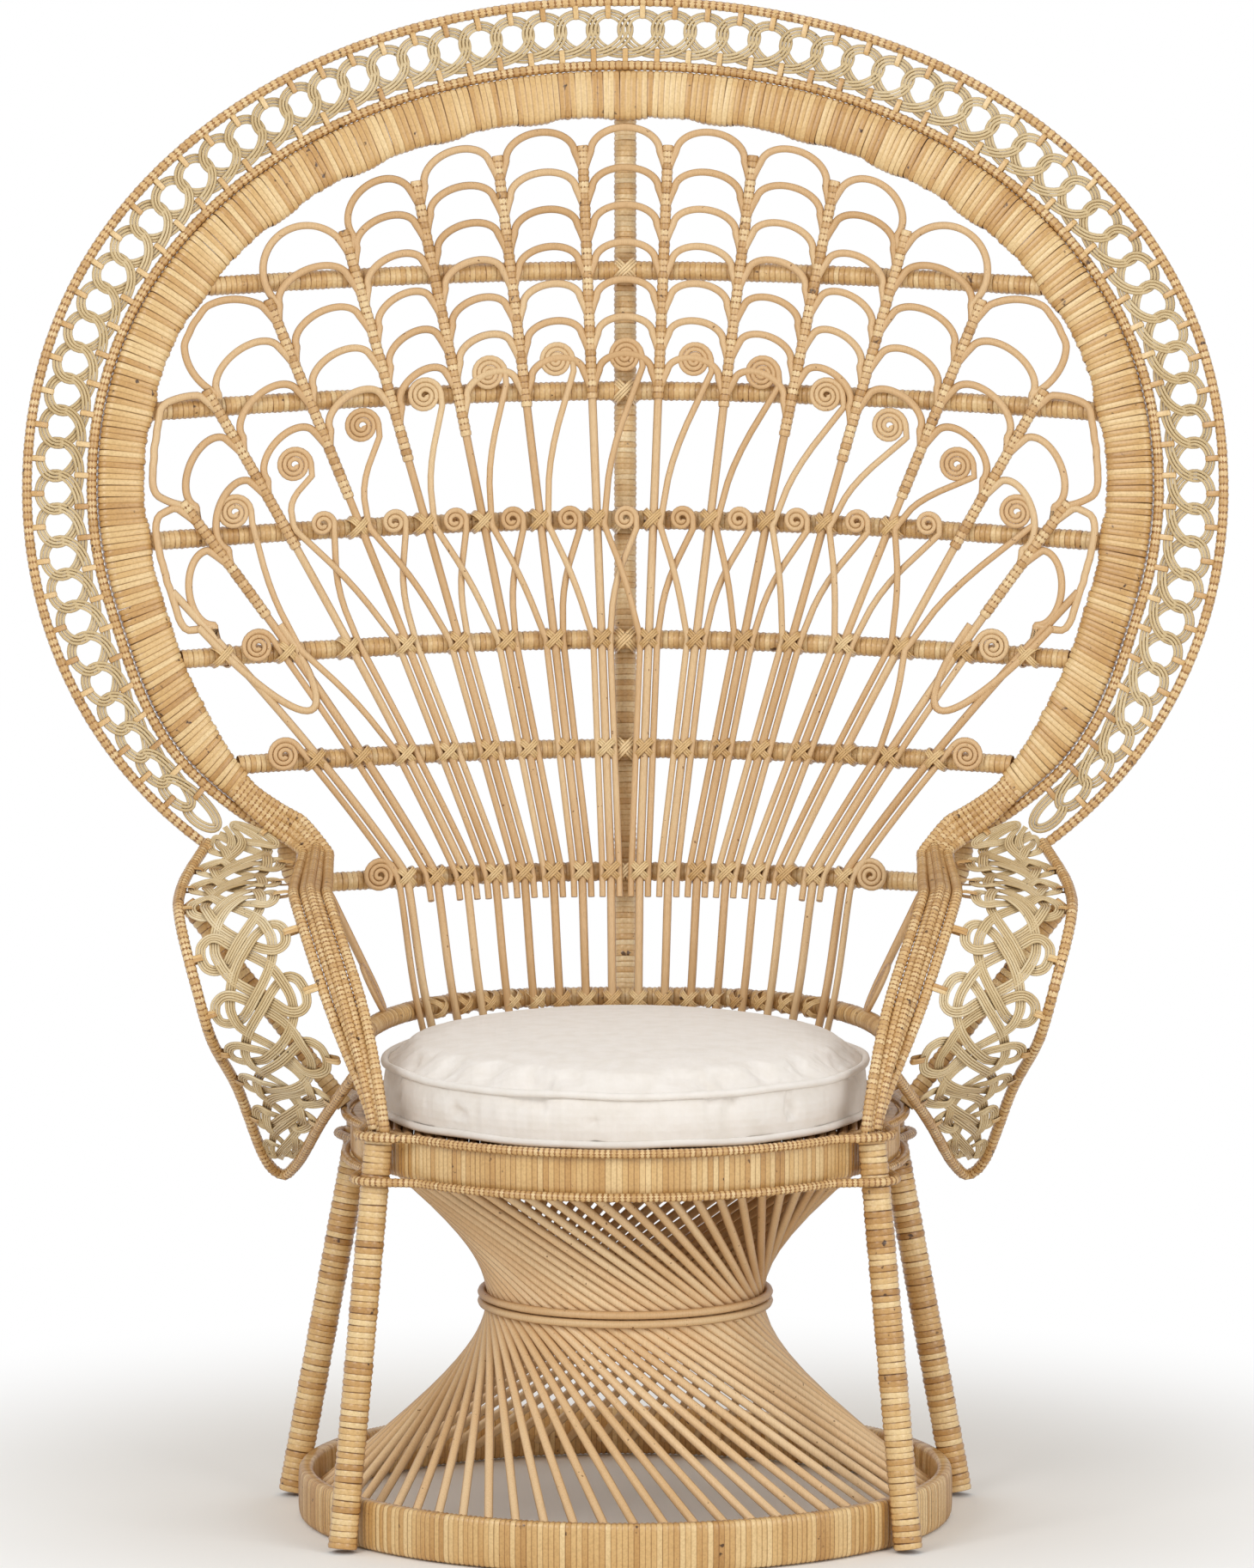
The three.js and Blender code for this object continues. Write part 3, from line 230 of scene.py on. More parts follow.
reedFinish = {
    "pale": "e9dab8", "warm": "d5be92", "deep": "b99c68", "mark": "655233",
    "roughness": 0.5, "bump": 0.15,
}
stemFinish = {
    "pale": "e6ca9a", "gold": "d8b482", "tan": "c9a06a", "brown": "ae824c", "mark": "5d401f",
    "seam": (0.5, 0.37, 0.24, 1), "roughness": 0.4, "bump": 0.2,
}
rodFinish = {
    "pale": "e3c592", "gold": "d9b47c", "tan": "cda56c", "brown": "bb9058", "mark": "5d401f",
    "seam": (0.55, 0.41, 0.27, 1), "roughness": 0.36, "bump": 0.2,
}
# painted light: rodFinish made lighter for the centre post, lifting the shade it sits in behind the rails
postPaintedLightFinish = {
    "pale": "f3ddb2", "gold": "ecd0a0", "tan": "e3c18c", "brown": "d2aa74", "mark": "5d401f",
    "seam": (0.72, 0.56, 0.38, 1), "roughness": 0.36, "bump": 0.2,
}
linenFinish = {"light": "eae4dd", "shade": "e4ddd4", "thread": 0.0011, "roughness": 0.92, "bump": 0.35}


def linenMaterial(name, finish):
    # plain weave: threads along each axis, uneven in tone
    material, nodes, links, shader = shaderTree(name)
    place = wired(nodes, links, "ShaderNodeTexCoord").outputs["Object"]
    slub = noise(nodes, links, place, 60.0, 3.0)
    fine = noise(nodes, links, place, 1500.0, 1.0)
    rate = 1.0 / finish["thread"] / 2
    waves = [wired(nodes, links, "ShaderNodeTexWave",
                   {"Vector": place, "Scale": rate / 10, "Distortion": 1.2, "Detail": 1.0, "Detail Scale": 3.0},
                   bands_direction=axis).outputs["Fac"] for axis in "XYZ"]
    weave = reckon(nodes, links, "ADD", waves[0], waves[1])
    weave = reckon(nodes, links, "ADD", weave, waves[2])
    height = reckon(nodes, links, "ADD", weave, fine)
    base = ramp(nodes, links, slub, [(0.3, tint(finish["shade"])), (0.62, tint(finish["light"]))])
    links.new(base, shader.inputs["Base Color"])
    bump = wired(nodes, links, "ShaderNodeBump", {"Height": height, "Strength": finish["bump"], "Distance": 0.0004})
    links.new(bump.outputs["Normal"], shader.inputs["Normal"])
    shader.inputs["Roughness"].default_value = finish["roughness"]
    shader.inputs["Sheen Weight"].default_value = 0.15
    return material


roundCane = caneMaterial("roundCane", caneFinish)
# the hourglass canes' material, lightened to lift their shade (painted light)
baseCane = caneMaterial("baseCane", hourglassPaintedLightFinish)
woundStrip = wrapMaterial("woundStrip", wrapFinish)
splitReed = caneMaterial("splitReed", reedFinish)
stemStrip = wrapMaterial("stemStrip", stemFinish)
rodStrip = wrapMaterial("rodStrip", rodFinish)
# the centre post's material, lightened to lift its shade (painted light)
postStrip = wrapMaterial("postStrip", postPaintedLightFinish)
linen = linenMaterial("linen", linenFinish)
print("materials made")


# node trees
def newTree(name, inputs):
    tree = bpy.data.node_groups.new(name, "GeometryNodeTree")
    tree.is_modifier = True
    tree.interface.new_socket("Geometry", in_out="INPUT", socket_type="NodeSocketGeometry")
    for label, kind, value in inputs:
        socket = tree.interface.new_socket(label, in_out="INPUT", socket_type="NodeSocket" + kind)
        if value is not None:
            socket.default_value = value
    tree.interface.new_socket("Geometry", in_out="OUTPUT", socket_type="NodeSocketGeometry")
    return tree, tree.nodes.new("NodeGroupInput"), tree.nodes.new("NodeGroupOutput")


def wireIn(tree, kind, inputs=None, **settings):
    return wired(tree.nodes, tree.links, kind, inputs, **settings)


def reckonIn(tree, operation, *values):
    return reckon(tree.nodes, tree.links, operation, *values)


def named(tree, label, kind="FLOAT"):
    return wireIn(tree, "GeometryNodeInputNamedAttribute", {"Name": label}, data_type=kind).outputs["Attribute"]


def randomFloat(tree, low, high, seed):
    made = wireIn(tree, "FunctionNodeRandomValue", data_type="FLOAT")
    floats = [s for s in made.inputs if s.type == "VALUE"]
    floats[0].default_value, floats[1].default_value = low, high
    tree.links.new(seed, made.inputs["Seed"])
    return [s for s in made.outputs if s.type == "VALUE"][0]


def keep(tree, geometry, label, value, domain):
    made = wireIn(tree, "GeometryNodeStoreNamedAttribute", data_type="FLOAT", domain=domain)
    made.inputs["Name"].default_value = label
    tree.links.new(geometry, made.inputs["Geometry"])
    socket = [s for s in made.inputs if s.name == "Value" and s.enabled][0]
    if isinstance(value, bpy.types.NodeSocket):
        tree.links.new(value, socket)
    else:
        socket.default_value = value
    return made.outputs["Geometry"]


def finishTree(tree, geometry, group, out):
    solid = wireIn(tree, "GeometryNodeRealizeInstances", {"Geometry": geometry}).outputs["Geometry"]
    soft = wireIn(tree, "GeometryNodeSetShadeSmooth", {"Geometry": solid, "Shade Smooth": True})
    done = wireIn(tree, "GeometryNodeSetMaterial",
                  {"Geometry": soft.outputs[0], "Material": group.outputs["Material"]})
    tree.links.new(done.outputs[0], out.inputs["Geometry"])


def windTree():
    # strip wound round a rod: one crowned ring for each turn, each a little askew
    tree, group, out = newTree("windRod", [
        ("Rod Radius", "Float", 0.009), ("Strip Width", "Float", 0.005), ("Strip Crown", "Float", 0.0007),
        ("Askew", "Float", 0.05), ("Sides", "Int", 12), ("Seed", "Int", 1), ("Material", "Material", None)])
    curve = wireIn(tree, "GeometryNodeMeshToCurve", {"Mesh": group.outputs["Geometry"]}).outputs["Curve"]
    dots = wireIn(tree, "GeometryNodeCurveToPoints", mode="LENGTH")
    tree.links.new(curve, dots.inputs["Curve"])
    tree.links.new(group.outputs["Strip Width"], dots.inputs["Length"])
    deep = reckonIn(tree, "MULTIPLY", group.outputs["Strip Width"], 1.04)
    tube = wireIn(tree, "GeometryNodeMeshCylinder", {"Vertices": group.outputs["Sides"], "Side Segments": 2,
                  "Radius": group.outputs["Rod Radius"], "Depth": deep}, fill_type="NONE").outputs["Mesh"]
    spot = wireIn(tree, "GeometryNodeInputPosition").outputs[0]
    split = wireIn(tree, "ShaderNodeSeparateXYZ", {"Vector": spot})
    halfDeep = reckonIn(tree, "MULTIPLY", deep, 0.5)
    rise = reckonIn(tree, "DIVIDE", split.outputs["Z"], halfDeep)
    edge = reckonIn(tree, "ABSOLUTE", rise)
    tube = keep(tree, tube, "edge", edge, "POINT")
    drop = reckonIn(tree, "MULTIPLY", edge, group.outputs["Strip Crown"])
    share = reckonIn(tree, "DIVIDE", drop, group.outputs["Rod Radius"])
    less = reckonIn(tree, "SUBTRACT", 1.0, share)
    flat = wireIn(tree, "ShaderNodeCombineXYZ", {"X": less, "Y": less, "Z": 1.0}).outputs[0]
    moved = wireIn(tree, "ShaderNodeVectorMath", {0: spot, 1: flat}, operation="MULTIPLY").outputs[0]
    tube = wireIn(tree, "GeometryNodeSetPosition", {"Geometry": tube, "Position": moved}).outputs["Geometry"]
    facing = wireIn(tree, "FunctionNodeAlignRotationToVector", {"Vector": dots.outputs["Tangent"]}, axis="Z")
    lean = [randomFloat(tree, -1.0, 1.0, reckonIn(tree, "ADD", group.outputs["Seed"], k)) for k in (3.0, 7.0)]
    leanXY = wireIn(tree, "ShaderNodeCombineXYZ", {"X": lean[0], "Y": lean[1]}).outputs[0]
    leant = wireIn(tree, "ShaderNodeVectorMath", {0: leanXY, "Scale": group.outputs["Askew"]},
                   operation="SCALE").outputs[0]
    askew = wireIn(tree, "FunctionNodeEulerToRotation", {"Euler": leant}).outputs[0]
    turned = wireIn(tree, "FunctionNodeRotateRotation", {"Rotation": facing.outputs[0], "Rotate By": askew},
                    rotation_space="LOCAL").outputs[0]
    size = randomFloat(tree, 0.975, 1.02, group.outputs["Seed"])
    sized = wireIn(tree, "ShaderNodeCombineXYZ", {"X": size, "Y": size, "Z": 1.0}).outputs[0]
    turns = wireIn(tree, "GeometryNodeInstanceOnPoints", {"Points": dots.outputs["Points"], "Instance": tube,
                   "Rotation": turned, "Scale": sized}).outputs["Instances"]
    turns = keep(tree, turns, "tone", randomFloat(tree, 0.0, 1.0, group.outputs["Seed"]), "INSTANCE")
    thin = reckonIn(tree, "MULTIPLY", group.outputs["Rod Radius"], 0.9)
    ring = wireIn(tree, "GeometryNodeCurvePrimitiveCircle", {"Resolution": 8, "Radius": thin}).outputs["Curve"]
    core = wireIn(tree, "GeometryNodeCurveToMesh", {"Curve": curve, "Profile Curve": ring,
                  "Fill Caps": True}).outputs["Mesh"]
    core = keep(tree, core, "tone", 0.9, "POINT")
    core = keep(tree, core, "edge", 1.0, "POINT")
    both = wireIn(tree, "GeometryNodeJoinGeometry")
    tree.links.new(turns, both.inputs[0])
    tree.links.new(core, both.inputs[0])
    finishTree(tree, both.outputs[0], group, out)
    return tree


def caneTree():
    # round canes along drawn lines; each point carries its own radius
    tree, group, out = newTree("bendCanes", [
        ("Sides", "Int", 8), ("Uneven", "Float", 0.04), ("Material", "Material", None)])
    curve = wireIn(tree, "GeometryNodeMeshToCurve", {"Mesh": group.outputs["Geometry"]}).outputs["Curve"]
    rough = wireIn(tree, "ShaderNodeTexNoise", {"Scale": 40.0, "Detail": 1.0}).outputs["Fac"]
    off = reckonIn(tree, "SUBTRACT", rough, 0.5)
    uneven = reckonIn(tree, "MULTIPLY_ADD", off, group.outputs["Uneven"], 1.0)
    radius = reckonIn(tree, "MULTIPLY", uneven, named(tree, "caneRadius"))
    ring = wireIn(tree, "GeometryNodeCurvePrimitiveCircle", {"Resolution": group.outputs["Sides"], "Radius": 1.0})
    shaped = wireIn(tree, "GeometryNodeCurveToMesh", {"Curve": curve, "Profile Curve": ring.outputs["Curve"],
                    "Scale": radius, "Fill Caps": True}).outputs["Mesh"]
    finishTree(tree, shaped, group, out)
    return tree


def stampTree():
    # a made shape set at every point, by the point's own frame, size and tone
    tree, group, out = newTree("setAtPoints", [
        ("Stamp", "Object", None), ("Size", "Float", 1.0), ("Material", "Material", None)])
    shape = wireIn(tree, "GeometryNodeObjectInfo", {"Object": group.outputs["Stamp"]}).outputs["Geometry"]
    scale = wireIn(tree, "ShaderNodeVectorMath", {0: named(tree, "stampScale", "FLOAT_VECTOR"),
                   "Scale": group.outputs["Size"]}, operation="SCALE").outputs[0]
    placed = wireIn(tree, "GeometryNodeInstanceOnPoints", {"Points": group.outputs["Geometry"], "Instance": shape,
                    "Rotation": named(tree, "stampFrame", "QUATERNION"), "Scale": scale}).outputs["Instances"]
    finishTree(tree, placed, group, out)
    return tree


windRod = windTree()
bendCanes = caneTree()
setAtPoints = stampTree()


def giveFloats(host, label, values):
    host.data.attributes.new(label, "FLOAT", "POINT").data.foreach_set("value", values)


def hostMesh(name, points, edges=()):
    mesh = bpy.data.meshes.new(name)
    mesh.from_pydata([tuple(p) for p in points], list(edges), [])
    host = bpy.data.objects.new(name, mesh)
    bpy.context.scene.collection.objects.link(host)
    return host


def runNodes(host, tree, settings):
    # the evaluated result becomes a plain mesh object, and the host goes
    modifier = host.modifiers.new("nodes", "NODES")
    modifier.node_group = tree
    sockets = {s.name: s.identifier for s in tree.interface.items_tree if s.in_out == "INPUT"}
    for label, value in settings.items():
        modifier[sockets[label]] = value
    host.update_tag()
    graph = bpy.context.evaluated_depsgraph_get()
    graph.update()
    mesh = bpy.data.meshes.new_from_object(host.evaluated_get(graph), preserve_all_data_layers=True, depsgraph=graph)
    name = host.name
    old = host.data
    host.modifiers.remove(modifier)
    bpy.data.objects.remove(host)
    bpy.data.meshes.remove(old)
    mesh.name = name
    piece = bpy.data.objects.new(name, mesh)
    bpy.context.scene.collection.objects.link(piece)
    return piece


def settle(piece, nodes=(), body="chair"):
    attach(piece, body)
    if nodes:
        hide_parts(*nodes)
    return piece


def strings(lines, closed=False):
    # points and edges of several drawn lines
    points, edges = [], []
    for line in lines:
        start = len(points)
        points += line
        edges += [(start + i, start + i + 1) for i in range(len(line) - 1)]
        if closed:
            edges.append((len(points) - 1, start))
    return points, edges


def woundRods(name, lines, radius, seed, strip=0.005, closed=False, sides=12, nodes=(), crown=0.0008, askew=0.04,
              material=woundStrip):
    points, edges = strings(lines, closed)
    host = hostMesh(name, points, edges)
    piece = runNodes(host, windRod, {"Rod Radius": radius, "Strip Width": strip, "Strip Crown": crown,
                     "Askew": askew, "Sides": sides, "Seed": seed, "Material": material})
    return settle(piece, nodes)


def canes(name, lines, seed, material=roundCane, nodes=(), sides=8, closed=False, uneven=0.05):
    # lines is a list of (points, radius)
    points, edges = strings([line for line, radius in lines], closed)
    host = hostMesh(name, points, edges)
    dice = random.Random(seed)
    radii, tones = [], []
    for line, radius in lines:
        tone = dice.uniform(0.25, 0.75)
        radii += list(radius) if isinstance(radius, (list, tuple)) else [radius] * len(line)
        tones += [tone] * len(line)
    giveFloats(host, "caneRadius", radii)
    giveFloats(host, "tone", tones)
    piece = runNodes(host, bendCanes, {"Sides": sides, "Uneven": uneven, "Material": material})
    return settle(piece, nodes)


def stamps(name, shape, places, seed, material, nodes=()):
    # places is a list of (position, frame, scale)
    host = hostMesh(name, [place for place, turn, scale in places])
    dice = random.Random(seed)
    frames = host.data.attributes.new("stampFrame", "QUATERNION", "POINT")
    frames.data.foreach_set("value", [c for place, turn, scale in places for c in turn])
    scales = host.data.attributes.new("stampScale", "FLOAT_VECTOR", "POINT")
    scales.data.foreach_set("vector", [c for place, turn, scale in places for c in scale])
    giveFloats(host, "tone", [dice.uniform(0.1, 0.9) for _ in places])
    piece = runNodes(host, setAtPoints, {"Stamp": shape, "Material": material})
    return settle(piece, nodes)


def shapeFrom(name, rings, edges):
    # a loft of rings as a stamp; edges gives the seam share of each ring
    count = len(rings[0])
    points = [p for ring in rings for p in ring]
    faces = []
    for i in range(len(rings) - 1):
        for j in range(count):
            a, b = i * count + j, i * count + (j + 1) % count
            faces.append((a, b, b + count, a + count))
    mesh = bpy.data.meshes.new(name)
    mesh.from_pydata([tuple(p) for p in points], [], faces)
    values = [edge for edge in edges for _ in range(count)]
    mesh.attributes.new("edge", "FLOAT", "POINT").data.foreach_set("value", values)
    return bpy.data.objects.new(name, mesh)


def bandTurn(name, wide, deep, strip, crown, count=22, power=5.0):
    # one flat turn of strip round a band: x across the band, y through it
    rings = []
    for rise in (-1.0, 0.0, 1.0):
        inset = crown * abs(rise)
        ring = []
        for i in range(count):
            a = 2 * math.pi * i / count
            c, s = math.cos(a), math.sin(a)
            x = (wide / 2 - inset) * sign(c) * abs(c) ** (2 / power)
            y = (deep / 2 - inset) * sign(s) * abs(s) ** (2 / power)
            ring.append((x, y, rise * strip * 0.52))
        rings.append(ring)
    return shapeFrom(name, rings, edges=(1.0, 0.0, 1.0))


def dropStamps(*shapes):
    for shape in shapes:
        mesh = shape.data
        bpy.data.objects.remove(shape)
        bpy.data.meshes.remove(mesh)


print("node trees made")


# base: wound ring, legs, hourglass
base = {"radius": 0.309, "width": 0.015, "bottom": 0.0004, "height": 0.047, "strip": 0.0052, "crown": 0.0008}
seat = {
    "radius": 0.259, "thickness": 0.014, "bottom": 0.345, "top": 0.386, "trimRod": 0.0045, "trimSpan": 0.055,
    "trimStrip": 0.0052, "topSpare": 0.0008, "bottomSpare": 0.0014, "frameWidth": 0.020, "frameHeight": 0.014,
    "frameStrip": 0.0062, "frameCrown": 0.0007, "facets": 48, "deckThickness": 0.012, "gap": 0.0003,
}
leg = {
    "radius": 0.014, "wound": 0.01379, "lift": 0.0058, "topGap": 0.001, "strip": 0.0056,
    "frontFoot": 53, "frontTop": 57, "rearFoot": 106, "rearTop": 116,
}


def ringBand(name, outer, wide, bottom, top, strip, crown, seed, node):
    middle = outer - wide / 2
    count = round(2 * math.pi * middle / strip)
    shape = bandTurn(name + "Turn", wide, top - bottom, 2 * math.pi * outer / count, crown)
    dice = random.Random(seed)
    places = []
    for i in range(count):
        degrees = 360 * i / count
        out = around(1, degrees, 0) - Vector((0, seatY, 0))
        along = Vector((0, 0, 1)).cross(out)
        swell = 1 + dice.uniform(-0.03, 0.02)
        turn = turnTo(along, out) @ Euler((0, dice.uniform(-0.02, 0.02), 0)).to_quaternion()
        places.append((around(middle, degrees, (bottom + top) / 2), turn, (swell, 1, 1)))
    piece = stamps(name, shape, places, seed, woundStrip, (node,))
    dropStamps(shape)
    return piece


ringBand("baseRing", base["radius"], base["width"], base["bottom"], base["height"], base["strip"], base["crown"], 11,
         "base_ring")
ringBand("seatApron", seat["radius"], seat["thickness"], seat["bottom"], seat["top"], base["strip"], base["crown"], 12,
         "seat_apron")

legTopRadius = seat["radius"] + seat["gap"] + leg["radius"]
legRingRadius = base["radius"] + seat["gap"] + leg["radius"]
legFootRadius = legTopRadius + (legRingRadius - legTopRadius) / (1 - base["height"] / seat["top"])


def legPoint(side, foot, top, z):
    low, high = around(legFootRadius, side * foot, 0), around(legTopRadius, side * top, seat["top"])
    return low.lerp(high, z / seat["top"])


legWays = {}
for side, word in ((-1, "left"), (1, "right")):
    for place in ("front", "rear"):
        foot, top = leg[place + "Foot"], leg[place + "Top"]
        line = [legPoint(side, foot, top, mix(leg["lift"], seat["top"] - leg["topGap"], i / 24)) for i in range(25)]
        legWays[place + word] = (side, foot, top)
        woundRods(f"{place}Leg_{word}", [line], leg["wound"], 20 + len(legWays), leg["strip"],
                  nodes=(f"{place}_leg_{word}",), sides=16)

hourglass = {
    "count": 60, "waistRadius": 0.127, "waistHeight": 0.208, "cane": 0.0042, "slope": 1.4, "hoopRod": 0.004,
    "hoopGap": 0.0004, "low": 0.016, "high": 0.357,
}


def hourglassCane(i):
    turn = 360 * i / hourglass["count"]
    out = around(1, turn, 0) - Vector((0, seatY, 0))
    along = Vector((0, 0, 1)).cross(out)
    line = []
    for k in range(15):
        z = mix(hourglass["low"], hourglass["high"], k / 14)
        rise = z - hourglass["waistHeight"]
        p = out * hourglass["waistRadius"] - along * hourglass["slope"] * rise
        line.append(Vector((p.x, p.y + seatY, z)))
    return line


# the hourglass canes take the lightened cane colours: painted light over their shade
canes("hourglassCanes", [(hourglassCane(i), hourglass["cane"]) for i in range(hourglass["count"])], 31,
      material=baseCane, nodes=("hourglass_canes",), sides=9)

for offset, word in ((1, "upper"), (-1, "lower")):
    rod = hourglass["hoopRod"]
    reach = hourglass["waistRadius"] + hourglass["cane"] + rod + hourglass["hoopGap"]
    z = hourglass["waistHeight"] + offset * (rod + seat["gap"])
    loop = [around(reach, 360 * k / 72, z) for k in range(72)]
    canes(f"waistHoop_{word}", [(loop, rod)], 33 + offset, nodes=(f"waist_hoop_{word}",), closed=True)


# seat trims pass round the legs
def trimLoop(z, spare):
    near = seat["radius"] + seat["gap"] + seat["trimRod"]
    bumps = []
    for side, foot, top in legWays.values():
        p = legPoint(side, foot, top, z)
        away = math.hypot(p.x, p.y - seatY)
        far = away + leg["radius"] + seat["trimRod"] + spare
        bumps.append((math.degrees(math.atan2(p.x, seatY - p.y)), far - near, math.degrees(seat["trimSpan"] / away)))
    loop = []
    for k in range(240):
        degrees = -180 + 1.5 * k
        radius = near
        for middle, rise, span in bumps:
            away = min(1.0, abs(degrees - middle) / span)
            radius += rise * (1 + math.cos(math.pi * away)) / 2
        loop.append(around(radius, degrees, z))
    return loop


woundRods("seatTopTrim", [trimLoop(seat["top"], seat["topSpare"])], seat["trimRod"], 41, seat["trimStrip"],
          closed=True, nodes=("seat_top_trim",), sides=10, material=rodStrip)
woundRods("seatBottomTrim", [trimLoop(seat["bottom"], seat["bottomSpare"])], seat["trimRod"], 42, seat["trimStrip"],
          closed=True, nodes=("seat_bottom_trim",), sides=10, material=rodStrip)

# seat frame and the deck of canes under the cushion
frameOuter = (seat["radius"] - seat["thickness"]) * math.cos(math.pi / seat["facets"]) - seat["gap"]
deckTop = seat["top"]
frameTop = deckTop - seat["deckThickness"] - seat["gap"]
ringBand("seatFrame", frameOuter, seat["frameWidth"], frameTop - seat["frameHeight"], frameTop,
         seat["frameStrip"], seat["frameCrown"], 43, "seat_frame")
deck = {"cane": 0.0052, "round": 0.97, "edge": 0.003, "tieEdge": 0.004, "tie": 0.0011, "ties": 4, "tieStep": 0.05}
deckSteps = (-1, -0.5, 0, 0.5, 1)
rows = int(frameOuter // deck["cane"])
deckLines = []
for i in range(-rows + 1, rows, 2):
    x = i * deck["cane"]
    half = math.sqrt(max(1e-6, (frameOuter - deck["edge"]) ** 2 - x * x))
    z = deckTop - deck["cane"] - 0.0002
    deckLines.append(([Vector((x, seatY + half * s, z)) for s in deckSteps], deck["cane"] * deck["round"]))
for i in range(-deck["ties"], deck["ties"] + 1):
    y = i * deck["tieStep"]
    half = math.sqrt((frameOuter - deck["tieEdge"]) ** 2 - y * y)
    z = deckTop - seat["deckThickness"] + 0.0012
    deckLines.append(([Vector((half * s, seatY + y, z)) for s in deckSteps], deck["tie"]))
canes("seatDeck", deckLines, 44, nodes=("seat_deck",), sides=8)
print("base and seat made")


# the back's dished, leaning surface
back = {"y": 0.235, "z": 0.470, "lean": math.radians(11), "round": 0.056, "flare": 0.3}


def onBack(u, z, lift=0.0):
    dish = math.hypot(back["round"], back["flare"] * u) - back["round"]
    y = seatY + back["y"] + (z - back["z"]) * math.tan(back["lean"]) - dish
    turn = -back["flare"] ** 2 * u / math.hypot(back["round"], back["flare"] * u)
    normal = Vector((turn, -1, math.tan(back["lean"]))).normalized()
    return Vector((u, y, z)) + normal * lift


def backNormal(u, z):
    return (onBack(u, z, 1.0) - onBack(u, z)).normalized()


hoop = {
    "halfWidth": 0.575, "wideZ": 0.950, "rise": 0.454, "power": 2.15, "shoulder": 0.428, "shoulderAngle": 66,
    "rimEndAngle": 53, "crownShare": 0.63, "rimRod": 0.005, "laceWidth": 0.049, "laceDrawIn": 0.018,
    "laceGap": 0.0009, "trimRod": 0.0052, "bandWidth": 0.045, "bandEnd": 0.009, "bandFront": 0.015,
    "bandBack": 0.0095, "bandOver": 0.0014, "strip": 0.0054, "trimStrip": 0.0062, "rimStrip": 0.0068,
    "topKnot": 1.296, "turnCrown": 0.0009, "turnSides": 26, "turnPower": 3.6,
}


def outline(t):
    s = abs(t)
    if s <= hoop["crownShare"]:
        a = s / hoop["crownShare"] * math.pi / 2
        u = hoop["halfWidth"] * math.sin(a) ** (2 / hoop["power"])
        return Vector((sign(t) * u, hoop["wideZ"] + hoop["rise"] * max(0, math.cos(a)) ** (2 / hoop["power"])))
    a = math.radians((s - hoop["crownShare"]) / (1 - hoop["crownShare"]) * hoop["shoulderAngle"])
    u = hoop["halfWidth"] - hoop["shoulder"] + hoop["shoulder"] * math.cos(a)
    return Vector((sign(t) * u, hoop["wideZ"] - hoop["shoulder"] * math.sin(a)))


def inset(t, depth):
    along = (outline(t + 1e-3) - outline(t - 1e-3)).normalized()
    return outline(t) + Vector((along.y, -along.x)) * depth


def shoulderTurn(t):
    share = max(0.0, (abs(t) - hoop["crownShare"]) / (1 - hoop["crownShare"]))
    return share * hoop["shoulderAngle"]


def laceEdge(t):
    return 2 * hoop["rimRod"] + hoop["laceGap"] + hoop["laceWidth"] - hoop["laceDrawIn"] * ease(shoulderTurn(t), 18, 46)


def trimMiddle(t):
    return laceEdge(t) + 0.75 * hoop["laceGap"] + hoop["trimRod"]


def bandOuter(t):
    return trimMiddle(t) + hoop["trimRod"] + seat["gap"]


def bandInner(t):
    narrow = ease(shoulderTurn(t), 36, hoop["shoulderAngle"] + 2)
    return bandOuter(t) + mix(hoop["bandWidth"], hoop["bandEnd"], narrow)


borderLift = (hoop["bandFront"] - hoop["bandBack"]) / 2
rimEnd = hoop["crownShare"] + (1 - hoop["crownShare"]) * hoop["rimEndAngle"] / hoop["shoulderAngle"]


def hoopLine(depth, end, lift, count=260):
    line = []
    for i in range(count + 1):
        t = mix(-end, end, i / count)
        p = inset(t, depth(t) if callable(depth) else depth)
        line.append(onBack(p.x, p.y, lift))
    return line


def evenly(depth, end, pitch):
    # places t spaced evenly along the outline at a depth
    fine = [mix(-end, end, i / 2000) for i in range(2001)]
    spots = [onBack(*inset(t, depth(t) if callable(depth) else depth), 0) for t in fine]
    lengths = [0.0]
    for a, b in zip(spots, spots[1:]):
        lengths.append(lengths[-1] + (b - a).length)
    count = max(1, round(lengths[-1] / pitch))
    found, k = [], 0
    for i in range(count + 1):
        goal = lengths[-1] * i / count
        while k < 1999 and lengths[k + 1] < goal:
            k += 1
        share = (goal - lengths[k]) / max(1e-9, lengths[k + 1] - lengths[k])
        found.append(mix(fine[k], fine[k + 1], share))
    return found, lengths[-1]


innerEdge = [inset(-1 + i / 300, bandInner(-1 + i / 300)) for i in range(601)]


def insideHoop(u, z):
    # how far a place on the back lies inside the band's inner edge
    best = min(range(601), key=lambda i: (innerEdge[i].x - u) ** 2 + (innerEdge[i].y - z) ** 2)
    t = -1 + best / 300
    along = (outline(t + 1e-3) - outline(t - 1e-3)).normalized()
    return (u - innerEdge[best].x) * along.y - (z - innerEdge[best].y) * along.x


woundRods("hoopTrim", [hoopLine(trimMiddle, 1, borderLift)], hoop["trimRod"], 51, hoop["trimStrip"],
          nodes=("hoop_trim",), sides=10, material=rodStrip)
woundRods("outerRim", [hoopLine(hoop["rimRod"], rimEnd, borderLift)], hoop["rimRod"], 52, hoop["rimStrip"],
          nodes=("outer_rim",), sides=10, material=rodStrip)

